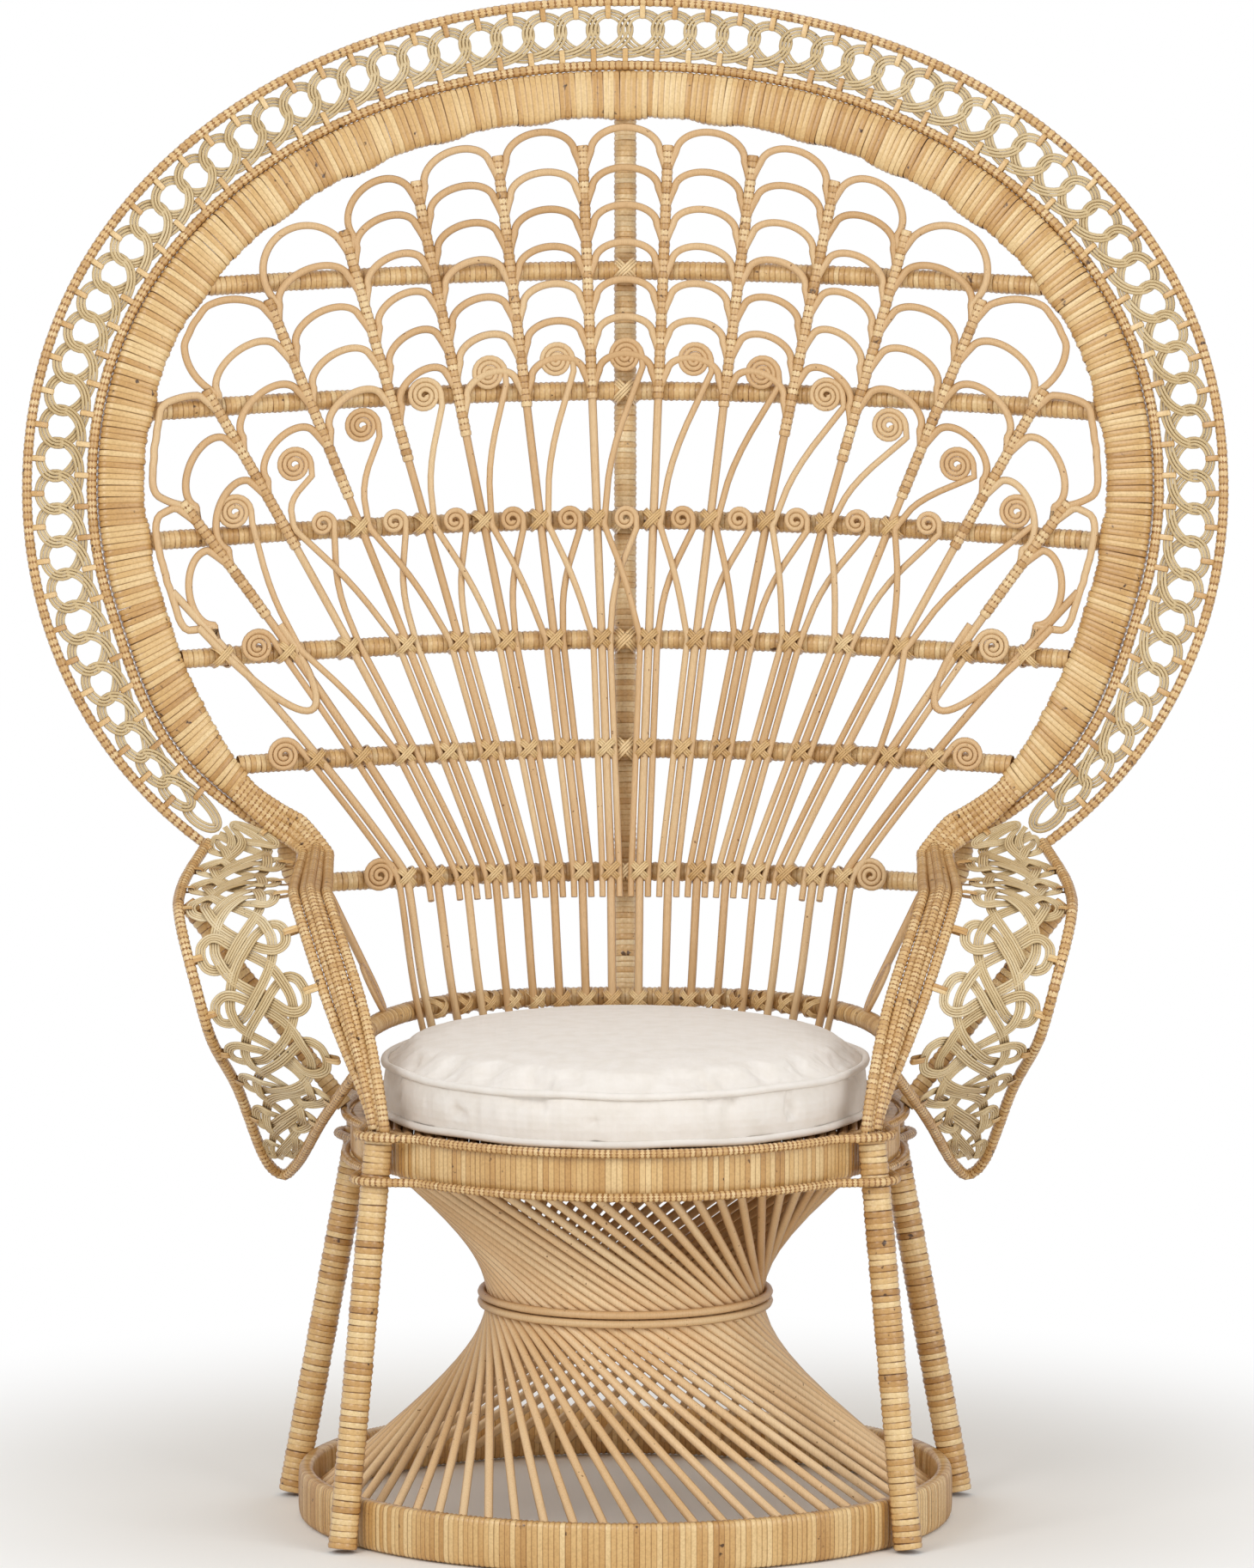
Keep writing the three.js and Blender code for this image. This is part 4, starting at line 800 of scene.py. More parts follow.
# fan rays
fan = {
    "perSide": 8, "pitch": 0.0283, "footPitch": 0.025, "spread": 0.0817, "bend": 0.04269, "layerGap": 0.00075,
    "cane": 0.0040, "stem": 0.0056, "stemDrop": 0.017, "stemBelow": 0.024, "stemStrip": 0.0058, "stemCrown": 0.0006,
    "stemAskew": 0.06, "caneShort": 0.06, "tail": 0.024, "footLength": 0.018, "endGap": 0.0062,
    "arch": 0.0037, "archPitch": 0.0345, "pitchMore": 0.0028, "archRows": (7, 7, 7, 6, 5, 4, 3, 2), "archGap": 0.0055,
    "forkDepth": 0.026, "forkMore": 0.027, "topBulge": 0.34, "sideBulge": 0.25, "rowBulge": 0.3,
    "scroll": 0.0032, "coil": 0.0024, "coilPitch": 0.0046, "coilEye": 0.0022, "scrollRadius": 0.0185,
    "scrollZ": 1.062, "scrollDrop": 0.0039, "smallRadius": 0.0135, "endRadius": 0.0175,
    "loopRise": 0.02, "loopHang": 0.062, "loopHalf": 0.6,
}
rails = {
    "rod": 0.0095, "heights": (1.144, 1.030, 0.908, 0.795, 0.692, 0.576), "bow": 0.0163, "bowSpan": 0.575,
    "seatZ": 0.458, "seatHalf": 0.250, "seatFrontY": -0.125, "seatBackY": 0.233, "seatPower": 2.8,
    "post": 0.011, "strip": 0.0052, "hoopEnd": 0.975, "turn": 0.016,
}
lastRail = rails["heights"][-1]


def fanU(w, z):
    if z < lastRail:
        return w * mix(fan["footPitch"], fan["pitch"], (z - rails["seatZ"]) / (lastRail - rails["seatZ"]))
    rise = z - lastRail
    bend = fan["bend"] * max(0.0, abs(w) - 3.5) ** 1.6 * rise ** 1.5
    return w * (fan["pitch"] + rise * fan["spread"]) + sign(w) * bend


def raySlope(w, z):
    return (fanU(w, z + 0.001) - fanU(w, z - 0.001)) / 0.002


def railHeight(z0, u):
    return z0 - rails["bow"] * (u / rails["bowSpan"]) ** 2


def seatRailY(u):
    share = min(1.0, abs(u) / rails["seatHalf"])
    depth = rails["seatBackY"] - rails["seatFrontY"]
    return seatY + rails["seatFrontY"] + depth * (1 - share ** rails["seatPower"]) ** (1 / rails["seatPower"])


def seatRailSlope(u):
    return (seatRailY(u + 0.001) - seatRailY(u - 0.001)) / 0.002


def fanSpot(w, z, aside=0.0, lift=0.0):
    # aside runs square to the ray on the back, lift toward the sitter from the canes' own layer
    u = fanU(w, z)
    away = rails["rod"] + fan["layerGap"] + fan["cane"] + lift
    u2 = u + aside * math.hypot(1, raySlope(w, z))
    high = onBack(u2, z, away)
    if z >= lastRail:
        return high
    low = Vector((u2, seatRailY(u2) - (away + 0.0012) * math.hypot(1, seatRailSlope(u)), z))
    return low.lerp(high, ease(z, rails["seatZ"], lastRail))


def hoopHeight(w, away):
    low, high = lastRail, hoop["wideZ"] + hoop["rise"]
    for _ in range(26):
        middle = (low + high) / 2
        if insideHoop(fanU(w, middle), middle) > away:
            low = middle
        else:
            high = middle
    return low


def stalkTop(w):
    return hoopHeight(w, fan["endGap"] if abs(w) > fan["perSide"] - 1 else fan["stemDrop"])


rays = [i - fan["perSide"] + 0.5 for i in range(2 * fan["perSide"])]
columns = rays[:-1]
topOf = {w: stalkTop(w) for w in rays}
apexOf = {w: hoopHeight(w + 0.5, fan["arch"] + fan["archGap"]) for w in columns}

# the wide wound band, which swells a little where an arch is bound into it
bindings = [Vector((fanU(w + 0.5, apexOf[w]), apexOf[w])) for w in columns] + [Vector((0, hoop["topKnot"]))]
bandPlaces = []
dice = random.Random(53)
spots, bandLength = evenly(lambda t: (bandOuter(t) + bandInner(t)) / 2, 0.998, hoop["strip"])
bandDeep = hoop["bandFront"] + hoop["bandBack"]
for t in spots:
    outer, inner = bandOuter(t) - hoop["bandOver"], bandInner(t)
    edge = inset(t, inner)
    bound = 1 - ease(min((edge - knot).length for knot in bindings), 0.010, 0.026)
    grow = mix(dice.uniform(-0.0008, 0.0006), 0.003, bound)
    wide = inner - outer + grow - 0.0004
    p = inset(t, (outer + inner + grow) / 2)
    here = onBack(p.x, p.y, borderLift)
    p2 = inset(t + 1e-3, (outer + inner + grow) / 2)
    along = onBack(p2.x, p2.y, borderLift) - here
    toInside = onBack(*inset(t, inner), borderLift) - onBack(*inset(t, outer), borderLift)
    turn = turnTo(along, toInside) @ Euler((dice.uniform(-0.03, 0.03), dice.uniform(-0.015, 0.015), 0)).to_quaternion()
    bandPlaces.append((here, turn, (wide / hoop["bandWidth"], 1 + 0.03 * bound, 1.0)))
turnShape = bandTurn("hoopTurn", hoop["bandWidth"], bandDeep - 0.0006, bandLength / (len(spots) - 1),
                     hoop["turnCrown"], hoop["turnSides"], hoop["turnPower"])
stamps("backHoop", turnShape, bandPlaces, 54, woundStrip, ("back_hoop",))
dropStamps(turnShape)
print("hoop made")

# lace: one three-ply reed runs as overlapping loops between the rim and the trim
lace = {"pitch": 0.0312, "ply": 3, "reed": 0.00152, "plyStep": 0.0031, "loopHalf": 0.0245, "weave": 0.0021, "steps": 30,
        "outerEdge": 0.0065, "innerEdge": 0.0055, "cutShare": 0.3}


def laceLines():
    end = rimEnd - 0.002
    spotsMid, length = evenly(lambda t: hoop["rimRod"] * 2 + hoop["laceWidth"] / 2, end, lace["pitch"])
    loops = len(spotsMid) - 1
    perT = length / (2 * end)

    def tAt(x):
        k = min(loops - 1, max(0, int(x)))
        return mix(spotsMid[k], spotsMid[k + 1], x - k)

    def center(a):
        # a grows by one turn for each loop
        along = a / (2 * math.pi) + lace["loopHalf"] / lace["pitch"] * math.sin(a)
        t = tAt(along)
        outer = 2 * hoop["rimRod"] + lace["outerEdge"]
        inner = laceEdge(t) - lace["innerEdge"]
        return t, mix(outer, inner, (1 + math.cos(a)) / 2), lace["weave"] * math.sin(2 * a)

    lines = []
    cut = int(lace["steps"] * lace["cutShare"])
    for ply in range(lace["ply"]):
        shift = (ply - (lace["ply"] - 1) / 2) * lace["plyStep"]
        line = []
        for k in range(cut, lace["steps"] * loops - cut):
            a = 2 * math.pi * k / lace["steps"]
            t, depth, lift = center(a)
            t2, depth2, _ = center(a + 0.02)
            run = Vector(((t2 - t) * perT, depth2 - depth)).normalized()
            p = inset(t - run.y * shift / perT, depth + run.x * shift)
            line.append(onBack(p.x, p.y, borderLift + lift))
        lines.append((line, lace["reed"]))
    feet = [center(2 * math.pi * k) for k in range(1, loops)]
    tops = [center(2 * math.pi * (k + 0.5)) for k in range(1, loops - 1)]
    return lines, feet, tops


laceRuns, laceFeet, laceTops = laceLines()
canes("laceBorder", laceRuns, 61, splitReed, ("lace_border",), sides=6)

# ties of strip hold each loop to the rim and to the trim
tie = {"wide": 0.0125, "deep": 0.0062, "strip": 0.0052, "crown": 0.0004, "sides": 14, "power": 4.0, "inward": 0.0022,
       "outward": 0.0026}


def tieTurn(name):
    return bandTurn(name, tie["wide"], tie["deep"], tie["strip"], tie["crown"], tie["sides"], tie["power"])


tieShape = tieTurn("tieTurn")


def tiePlaces(feet, reachOut):
    places = []
    for t, depth, lift in feet:
        p = inset(t, depth)
        here = onBack(p.x, p.y, borderLift)
        q = inset(t, depth + 0.002)
        toInside = onBack(q.x, q.y, borderLift) - here
        r = inset(t + 1e-3, depth)
        along = onBack(r.x, r.y, borderLift) - here
        places.append((here + toInside.normalized() * reachOut, turnTo(along, toInside), (1.25, 1.0, 1.0)))
    return places


laceTies = tiePlaces(laceFeet, tie["inward"]) + tiePlaces(laceTops, -tie["outward"])
stamps("laceTies", tieShape, laceTies, 62, woundStrip)
dropStamps(tieShape)
print("lace made")


# rails, seat rail and centre post
def reachHoop(z0):
    low, high = 0.0, hoop["halfWidth"]
    for _ in range(30):
        middle = (low + high) / 2
        if insideHoop(middle, railHeight(z0, middle)) > 0.0004:
            low = middle
        else:
            high = middle
    return low


def railLine(z0, half, count=70):
    line = []
    for i in range(count + 1):
        u = mix(-half, half, i / count)
        line.append(onBack(u, railHeight(z0, u)))
    return line


def bezier(points, t):
    while len(points) > 1:
        points = [a.lerp(b, t) for a, b in zip(points, points[1:])]
    return points[0]


def lowestRail(z0):
    # both ends of the lowest rail turn up into the ends of the hoop
    end = inset(rails["hoopEnd"], (trimMiddle(rails["hoopEnd"]) + bandInner(rails["hoopEnd"])) / 2)
    half = end.x - rails["turn"]
    line = railLine(z0, half)
    foot = railHeight(z0, half)
    rise = []
    for i in range(1, 13):
        q = bezier([Vector((half, foot, 0)), Vector((end.x, foot, 0)), Vector((end.x, end.y, 0))], i / 12)
        rise.append(onBack(q.x, q.y))
    return [onSide(p, -1) for p in rise[::-1]] + line + rise


for i, z0 in enumerate(rails["heights"]):
    name = f"back_rail_{i + 1}"
    way = lowestRail(z0) if i == len(rails["heights"]) - 1 else railLine(z0, reachHoop(z0))
    woundRods(f"backRail_{i + 1}", [way], rails["rod"], 70 + i, rails["strip"], nodes=(name,), sides=14,
              material=rodStrip)

seatLine = []
low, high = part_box("seat_back_rail")
power = 2 / rails["seatPower"]
for i in range(91):
    a = mix(-0.5, 0.5, i / 90) * math.pi
    u = rails["seatHalf"] * sign(a) * abs(math.sin(a)) ** power
    y = rails["seatFrontY"] + (rails["seatBackY"] - rails["seatFrontY"]) * max(0, math.cos(a)) ** power
    if seatY + y > low.y + 0.004:
        seatLine.append(Vector((u, seatY + y, rails["seatZ"])))
woundRods("seatBackRail", [seatLine], rails["rod"], 77, rails["strip"], nodes=("seat_back_rail",), sides=14,
          material=rodStrip)

postLift = -(rails["rod"] + 0.0006 + rails["post"])
postLow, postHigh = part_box("center_post")
postLine = [onBack(0, mix(postLow.z + 0.006, postHigh.z + 0.002, i / 60), postLift) for i in range(61)]
# the post takes the lightened strip colours: painted light over its shade
woundRods("centerPost", [postLine], rails["post"], 78, rails["strip"], nodes=("center_post",), sides=14,
          material=postStrip)
print("rails made")


# fan canes
def spiralPoints(center, radius, start, hand):
    # a tight flat coil, wound inward until only a small eye is left
    outer = radius - fan["coil"]
    turns = (outer - fan["coilEye"]) / fan["coilPitch"]
    steps = round(20 * turns)
    points = []
    for k in range(steps + 1):
        a = start + hand * 2 * math.pi * turns * k / steps
        r = outer - fan["coilPitch"] * turns * k / steps
        points.append((center[0] + r * math.cos(a), center[1] + r * math.sin(a)))
    return points


def onFan(points, lift=0.0):
    away = rails["rod"] + fan["layerGap"] + fan["cane"] + lift
    return [onBack(u, z, away) for u, z in points]


def rayPoints(w, low, high, aside, count):
    return [fanSpot(w, mix(low, high, i / count), aside) for i in range(count + 1)]


def smoothLine(points, rounds=2):
    for _ in range(rounds):
        cut = [points[0]]
        for a, b in zip(points, points[1:]):
            cut += [a.lerp(b, 0.25), a.lerp(b, 0.75)]
        points = cut + [points[-1]]
    return points


def beside(w, z, aside):
    return fanU(w, z) + aside * math.hypot(1, raySlope(w, z)), z


rayTables = {}


def rayDown(w, length):
    # height of the place on a ray that lies a length below the hoop, measured along the ray
    key = round(w, 4)
    if key not in rayTables:
        z = hoopHeight(w, 0.0)
        table = [(0.0, z)]
        while z > lastRail:
            lower = z - 0.004
            table.append((table[-1][0] + math.hypot(fanU(w, lower) - fanU(w, z), 0.004), lower))
            z = lower
        rayTables[key] = table
    table = rayTables[key]
    k = 1
    while k < len(table) - 1 and table[k][0] < length:
        k += 1
    (a, high), (b, low) = table[k - 1], table[k]
    return mix(high, low, (length - a) / (b - a))


def forkDepth(w):
    return fan["forkDepth"] + fan["forkMore"] * ease(abs(w), 2, 4.5)


def archStep(w):
    return fan["archPitch"] + fan["pitchMore"] * max(0.0, abs(w) - 2) ** 1.2


def arch(w, row):
    # half a ring set on the line between its two feet; away from the middle the outer foot stands higher
    middle = w + 0.5
    aside = ease(abs(middle), 1, 4.2)
    side = fan["stem"] + fan["arch"] * 0.6
    inner, outer = (w, w + 1) if middle > 0 else (w + 1, w)
    rise = {inner: 0.0, outer: aside if row else 0.0}
    bulge = fan["topBulge"] + fan["sideBulge"] * ease(abs(middle), 2, 5) if row == 0 else fan["rowBulge"]

    def foot(ray, below):
        return rayDown(ray, fan["archGap"] + forkDepth(ray) + (row - rise[ray]) * archStep(ray) + below)

    left, right = Vector(beside(w, foot(w, 0), side)), Vector(beside(w + 1, foot(w + 1, 0), -side))
    half = (right - left) / 2
    crown = Vector((-half.y, half.x)) * 2 * bulge
    flat = []
    for k in range(25):
        a = math.pi * k / 24
        reach = -half * math.cos(a) + crown * math.sin(a)
        while insideHoop(*((left + right) / 2 + reach)) < fan["arch"] + 0.0006 and reach.length > 0.01:
            reach *= 0.97
        flat.append((left + right) / 2 + reach)
    line = [fanSpot(w, foot(w, 0.018), side * 0.1), fanSpot(w, foot(w, 0.007), side * 0.6)]
    line += onFan([(p.x, p.y) for p in flat])
    line += [fanSpot(w + 1, foot(w + 1, 0.007), -side * 0.6), fanSpot(w + 1, foot(w + 1, 0.018), -side * 0.1)]
    return smoothLine(line, 1)


def tapered(stem, coil, thick):
    # radii of a scroll's cane: full in the stem, thinner through the coil
    lead = min(8, coil)
    thinning = [mix(thick, fan["coil"], (k + 1) / lead) for k in range(lead)]
    return [thick] * stem + thinning + [fan["coil"]] * (coil - lead)


r2, r3, r4, r5, r6 = rails["heights"][1:]
tailZ = lastRail - fan["tail"]
pair = 2 * fan["cane"] + seat["gap"]
caneLines = {w: [] for w in rays}
stemLines = {w: [] for w in rays}
stemLow = {}
for w in rays:
    top = topOf[w]
    outermost = abs(w) > fan["perSide"] - 1
    caneTop = top if outermost else min(top - fan["caneShort"], r2 + 0.02)
    caneLines[w].append((rayPoints(w, rails["seatZ"] - fan["footLength"], caneTop, 0.0, count=46), fan["cane"]))
    column = abs(w + 0.5)
    # the bound stem runs from below the lowest arch up to the fork under the top arches
    rowsHere = max(fan["archRows"][int(abs(place + 0.5))] for place in (w - 1, w) if place in columns)
    forkAt = fan["archGap"] + forkDepth(w)
    stemLow[w] = top if outermost else rayDown(w, forkAt + (rowsHere - 1) * archStep(w) + fan["stemBelow"])
    if not outermost:
        stemLines[w].append(rayPoints(w, stemLow[w], rayDown(w, forkAt - 0.003), 0.0, count=40))
    if w in columns:
        for row in range(fan["archRows"][int(column)]):
            caneLines[w].append((arch(w, row), fan["arch"]))
        if column < 7:
            # large scroll: from the coil down to this ray, across to the next ray and down beside it
            z = fan["scrollZ"] - fan["scrollDrop"] * column ** 2
            crossZ = r3 if column < 6 else r4
            center = (fanU(w + 0.5, z), z)
            coil = spiralPoints(center, fan["scrollRadius"], 0.1, 1)[::-1]
            line = onFan(coil)
            coilCount = len(line)
            line += smoothLine([onFan([(coil[-1][0] + 0.001, coil[-1][1] - 0.012)])[0],
                                fanSpot(w, mix(crossZ, z, 0.4), pair * 1.9), fanSpot(w, crossZ, pair * 0.9, 0.002)])
            nextZ = r4 if column < 6 else r5
            line += smoothLine([fanSpot(w, crossZ - 0.006, pair * 0.8, 0.005),
                                fanSpot(w + 0.5, mix(crossZ, nextZ, 0.5), 0.0, 0.0065),
                                fanSpot(w + 1, nextZ, -pair, 0.0)], 2)
            line += rayPoints(w + 1, nextZ - 0.012, tailZ, -pair, count=24)
            caneLines[w].append((line, tapered(len(line) - coilCount, coilCount, fan["scroll"])[::-1]))
        if column < 6:
            # small scroll on the third rail: its cane runs down to this ray and stays beside it
            center = (fanU(w + 0.5, r3), r3)
            coil = spiralPoints(center, fan["smallRadius"], 0.1, 1)[::-1]
            line = onFan(coil, 0.001)
            coilCount = len(line)
            line += smoothLine([onFan([(coil[-1][0], coil[-1][1] - 0.01)], 0.001)[0],
                                fanSpot(w, mix(r4, r3, 0.45), pair * 1.7), fanSpot(w, r4, pair)])
            line += rayPoints(w, r4 - 0.012, tailZ, pair, count=24)
            caneLines[w].append((line, tapered(len(line) - coilCount, coilCount, fan["scroll"])[::-1]))
    outside = sign(w)
    if abs(w) > fan["perSide"] - 2:
        for height in ((r5, r6) if outermost else (r4,)):
            lean = math.atan(abs(raySlope(w, height)))
            center = beside(w, height, outside * (pair + fan["endRadius"] - fan["coil"]))
            coil = spiralPoints(center, fan["endRadius"], lean if outside < 0 else math.pi - lean, -outside)
            low = tailZ if height > r6 else rails["seatZ"] - fan["footLength"]
            lead = rayPoints(w, low, coil[0][1] - 0.006, outside * pair, count=20)
            radii = tapered(len(lead), len(coil), fan["scroll"])
            caneLines[w].append((lead + onFan(coil), radii))
    if 6 < abs(w) < 7:
        # a hanging loop between the two outermost rays, below the fourth rail
        high, low = r4 + fan["loopRise"], r4 - fan["loopHang"]
        ring = []
        for k in range(25):
            a = math.pi * k / 24
            wide = outside * (0.5 - fan["loopHalf"] * math.cos(a))
            ring.append(fanSpot(w + wide, high - (high - low) * math.sin(a) ** 0.8, 0.0, 0.002))
        caneLines[w].append((ring, fan["arch"]))

for i, w in enumerate(rays):
    node = f"fan_stalk_{i + 1:02d}"
    canes(f"fanCanes_{i + 1:02d}", caneLines[w], 100 + i, nodes=(node,), sides=8)
    if stemLines[w]:
        woundRods(f"fanStem_{i + 1:02d}", stemLines[w], fan["stem"], 130 + i, fan["stemStrip"], sides=10,
                  crown=fan["stemCrown"], askew=fan["stemAskew"], material=stemStrip)
print("fan made")

# crossed lashings where the canes meet the rails
lash = {
    "strand": 0.0011, "step": 0.0021, "half": 0.0125, "front": 0.0105, "rear": 0.0012, "foot": 0.85, "steps": 14,
    "postStrand": 0.0013, "postStep": 0.0026, "postHalf": 0.0145, "postFront": 0.0012, "postRear": 0.0022,
}


def crossShape(name, half, front, rear, strand, step):
    # two diagonal sets of strands, each a closed loop round the cane in front and the rail behind
    mesh = bpy.data.meshes.new(name)
    points, faces = [], []
    steps = lash["steps"]
    for lean in (-1, 1):
        along = Vector((math.sqrt(0.5), lean * math.sqrt(0.5), 0))
        across = Vector((-along.y, along.x, 0))
        for k in (-1, 0, 1):
            start = len(points)
            for i in range(steps):
                a = 2 * math.pi * i / steps
                c, s = math.cos(a), math.sin(a)
                flat = half * sign(c) * abs(c) ** 0.75
                deep = mix(rear, front, 0.5 + 0.5 * sign(s) * abs(s) ** 0.6) + 0.0006 * lean
                middle = along * flat + across * (k * step) + Vector((0, 0, deep))
                outward = (along * (c / half) + Vector((0, 0, s / (front - rear)))).normalized()
                for j in range(4):
                    b = math.pi / 2 * j + math.pi / 4
                    points.append(middle + outward * strand * math.cos(b) + across * strand * 1.25 * math.sin(b))
            for i in range(steps):
                for j in range(4):
                    a0, a1 = start + i * 4 + j, start + i * 4 + (j + 1) % 4
                    b0, b1 = start + (i + 1) % steps * 4 + j, start + (i + 1) % steps * 4 + (j + 1) % 4
                    faces.append((a0, a1, b1, b0))
    mesh.from_pydata([tuple(p) for p in points], [], faces)
    mesh.update()
    return bpy.data.objects.new(name, mesh)


def crossPlaces():
    places = []
    for z0 in rails["heights"]:
        for w in rays:
            u = fanU(w, z0)
            z = railHeight(z0, u)
            if z < stemLow[w] + 0.004:
                normal = backNormal(u, z)
                sideways = onBack(u + 0.001, z) - onBack(u - 0.001, z)
                places.append((onBack(u, z), turnTo(normal, sideways), (1, 1, 1)))
    for w in rays:
        u = w * fan["footPitch"]
        slope = seatRailSlope(u)
        turn = turnTo(Vector((slope, -1, 0)).normalized(), Vector((1, slope, 0)))
        places.append((Vector((u, seatRailY(u), rails["seatZ"])), turn, (lash["foot"], lash["foot"], 1)))
    return places


crossing = crossShape("lashing", lash["half"], rails["rod"] + lash["front"], -rails["rod"] - lash["rear"],
                      lash["strand"], lash["step"])
stamps("fanLashings", crossing, crossPlaces(), 160, rodStrip)
backCross = crossShape("postLashing", lash["postHalf"], rails["rod"] + lash["postFront"],
                       -rails["rod"] - 2 * rails["post"] - lash["postRear"], lash["postStrand"], lash["postStep"])
postKnots = [(onBack(0, z), turnTo(backNormal(0, z), Vector((1, 0, 0))), (1, 1, 1)) for z in rails["heights"]]
# the post lashings take the same lightened colours: painted light over their shade
stamps("postLashings", backCross, postKnots, 161, postStrip)
dropStamps(crossing, backCross)
print("lashings made")

# arms: two close pairs of wound rods run forward from the shoulder and turn down to the front leg
arm = {
    "rod": 0.008, "topZ": 0.590, "frontY": 0.020, "halfGap": 0.289, "dropShare": 0.2, "strand": 0.0054, "strip": 0.005,
    "cover": 0.0046, "coverLift": 0.0052, "hoopFrom": 0.92, "hoopTo": 0.982,
    "scrollRadius": 0.027, "scrollTopRadius": 0.019, "scrollRod": 0.004, "scrollY": 0.090, "scrollMore": 0.005,
}
wing = {
    "width": 0.124, "rod": 0.0055, "noseY": -0.045, "foldZ": 0.457, "tip": (0.334, 0.130, 0.302), "jointZ": 0.441,
    "return": 0.55, "brace": 0.00873, "rimStrip": 0.0058, "braceStrip": 0.0062, "knot": 0.058, "ply": 4,
    "plyStep": 0.0025, "reed": 0.00128, "margin": 0.0075, "weave": 0.0023, "first": 0.38, "full": 0.095, "least": 0.55,
    "tieStep": 0.0036,
}


def armMiddle(t):
    shoulder = (inset(1, trimMiddle(1)) + inset(1, bandInner(1))) / 2
    start = onBack(shoulder.x, shoulder.y, hoop["bandFront"] + 0.0006 + arm["rod"])
    legTop = legPoint(1, leg["frontFoot"], leg["frontTop"], seat["top"])
    legTop.z = seat["top"] + seat["gap"]
    front = Vector((arm["halfGap"] + arm["rod"], seatY + arm["frontY"], arm["topZ"]))
    lead = Vector((front.x, start.y, arm["topZ"])).lerp(front, 0.3)
    bend = Vector((front.x, seatY + arm["frontY"] - 0.060, arm["topZ"]))
    drop = Vector((legTop.x, legTop.y, mix(seat["top"], arm["topZ"], arm["dropShare"])))
    if t < 0.4:
        return bezier([start, lead, front], t / 0.4)
    return bezier([front, bend, drop, legTop], (t - 0.4) / 0.6)


def armSpot(side, t, offset, lift=0.0):
    p = armMiddle(t)
    along = (armMiddle(min(1, t + 1e-3)) - armMiddle(max(0, t - 1e-3))).normalized()
    tangent = around(1, leg["frontTop"] + 90, 0) - Vector((0, seatY, 0))
    across = Vector((1, 0, 0)).lerp(tangent, ease(t, 0.5, 1))
    across = (across - along * across.dot(along)).normalized()
    return onSide(p + across * offset + across.cross(along).normalized() * lift, side)


def armRun(side, offset):
    # the rod lies on the end of the hoop, then leaves it along the arm; the rods draw together at both ends
    lead = []
    for i in range(8):
        t = mix(arm["hoopFrom"], arm["hoopTo"], i / 7)
        p = inset(t, (trimMiddle(t) + bandInner(t)) / 2 - offset * mix(0.45, 0.75, i / 7))
        p = onBack(p.x, p.y, mix(hoop["bandFront"] - 0.005, hoop["bandFront"] + 0.005, i / 7))
        lead.append(onSide(p, side))
    for i in range(47):
        t = mix(0.07, 0.998, i / 46)
        close = mix(0.78, 1, ease(t, 0.05, 0.35)) * mix(1, 0.6, ease(t, 0.68, 1))
        lead.append(armSpot(side, t, offset * close))
    return smoothLine(lead, 3)


for side, word in ((-1, "left"), (1, "right")):
    for place, middle in (("outer", 1), ("inner", -1)):
        lines = [armRun(side, middle * (k + 0.5) * 2 * (arm["strand"] - 0.0002)) for k in (0, 1)]
        woundRods(f"armRods_{place}_{word}", lines, arm["strand"], 170 + middle + 3 * side, arm["strip"], sides=12,
                  nodes=(f"arm_rod_{place}_{word}",), material=rodStrip)
    cover = [armSpot(side, mix(0.02, 0.97, i / 60), 0.0, -arm["coverLift"]) for i in range(61)]
    woundRods(f"armCover_{word}", [cover], arm["cover"], 176 + side, arm["strip"], sides=12, material=rodStrip)


# wings
def catmull(points, t):
    span = t * (len(points) - 1)
    k = min(len(points) - 2, max(0, int(math.floor(span))))
    p = [points[max(0, k - 1)], points[k], points[k + 1], points[min(len(points) - 1, k + 2)]]
    if k == 0:
        p[0] = p[1] * 2 - p[2]
    if k == len(points) - 2:
        p[3] = p[2] * 2 - p[1]
    knots = [0.0]
    for a, b in zip(p, p[1:]):
        knots.append(knots[-1] + max(1e-6, (b - a).length) ** 0.5)
    x = mix(knots[1], knots[2], span - k)

    def level(a, b, ka, kb):
        return a * ((kb - x) / (kb - ka)) + b * ((x - ka) / (kb - ka))

    a1, a2, a3 = (level(p[i], p[i + 1], knots[i], knots[i + 1]) for i in range(3))
    b1, b2 = level(a1, a2, knots[0], knots[2]), level(a2, a3, knots[1], knots[3])
    return level(b1, b2, knots[1], knots[2])


def wingCorners():
    rimTip = inset(rimEnd, hoop["rimRod"])
    start = onBack(rimTip.x, rimTip.y, borderLift + 2 * hoop["rimRod"] + seat["gap"])
    far = arm["halfGap"] + wing["width"]
    tipX, tipY, tipZ = wing["tip"]
    foldX = mix(far, tipX, 0.3)
    arms = [armSpot(1, i / 160, arm["rod"] + seat["gap"]) for i in range(161)]
    joint = min(arms, key=lambda p: abs(p.z - wing["jointZ"]))
    rest = [
        (far + 0.006, arm["frontY"] + 0.045, arm["topZ"] - 0.002),
        (far + 0.006, arm["frontY"] - 0.025, arm["topZ"] - 0.022),
        (far - 0.012, wing["noseY"], mix(arm["topZ"], wing["foldZ"], 0.65)),
        (foldX, wing["noseY"] + 0.022, wing["foldZ"]),
        (mix(foldX, tipX, 0.4), mix(wing["noseY"], tipY, 0.5), mix(wing["foldZ"], tipZ, 0.36)),
        (tipX + 0.004, tipY - 0.010, tipZ + 0.010),
        (tipX - 0.008, tipY, tipZ),
        (tipX - 0.020, tipY - 0.022, tipZ + 0.012),
    ]
    tip = Vector((tipX - 0.008, seatY + tipY, tipZ))
    return [start] + [Vector((x, seatY + y, z)) for x, y, z in rest] + [tip.lerp(joint, wing["return"]), joint]


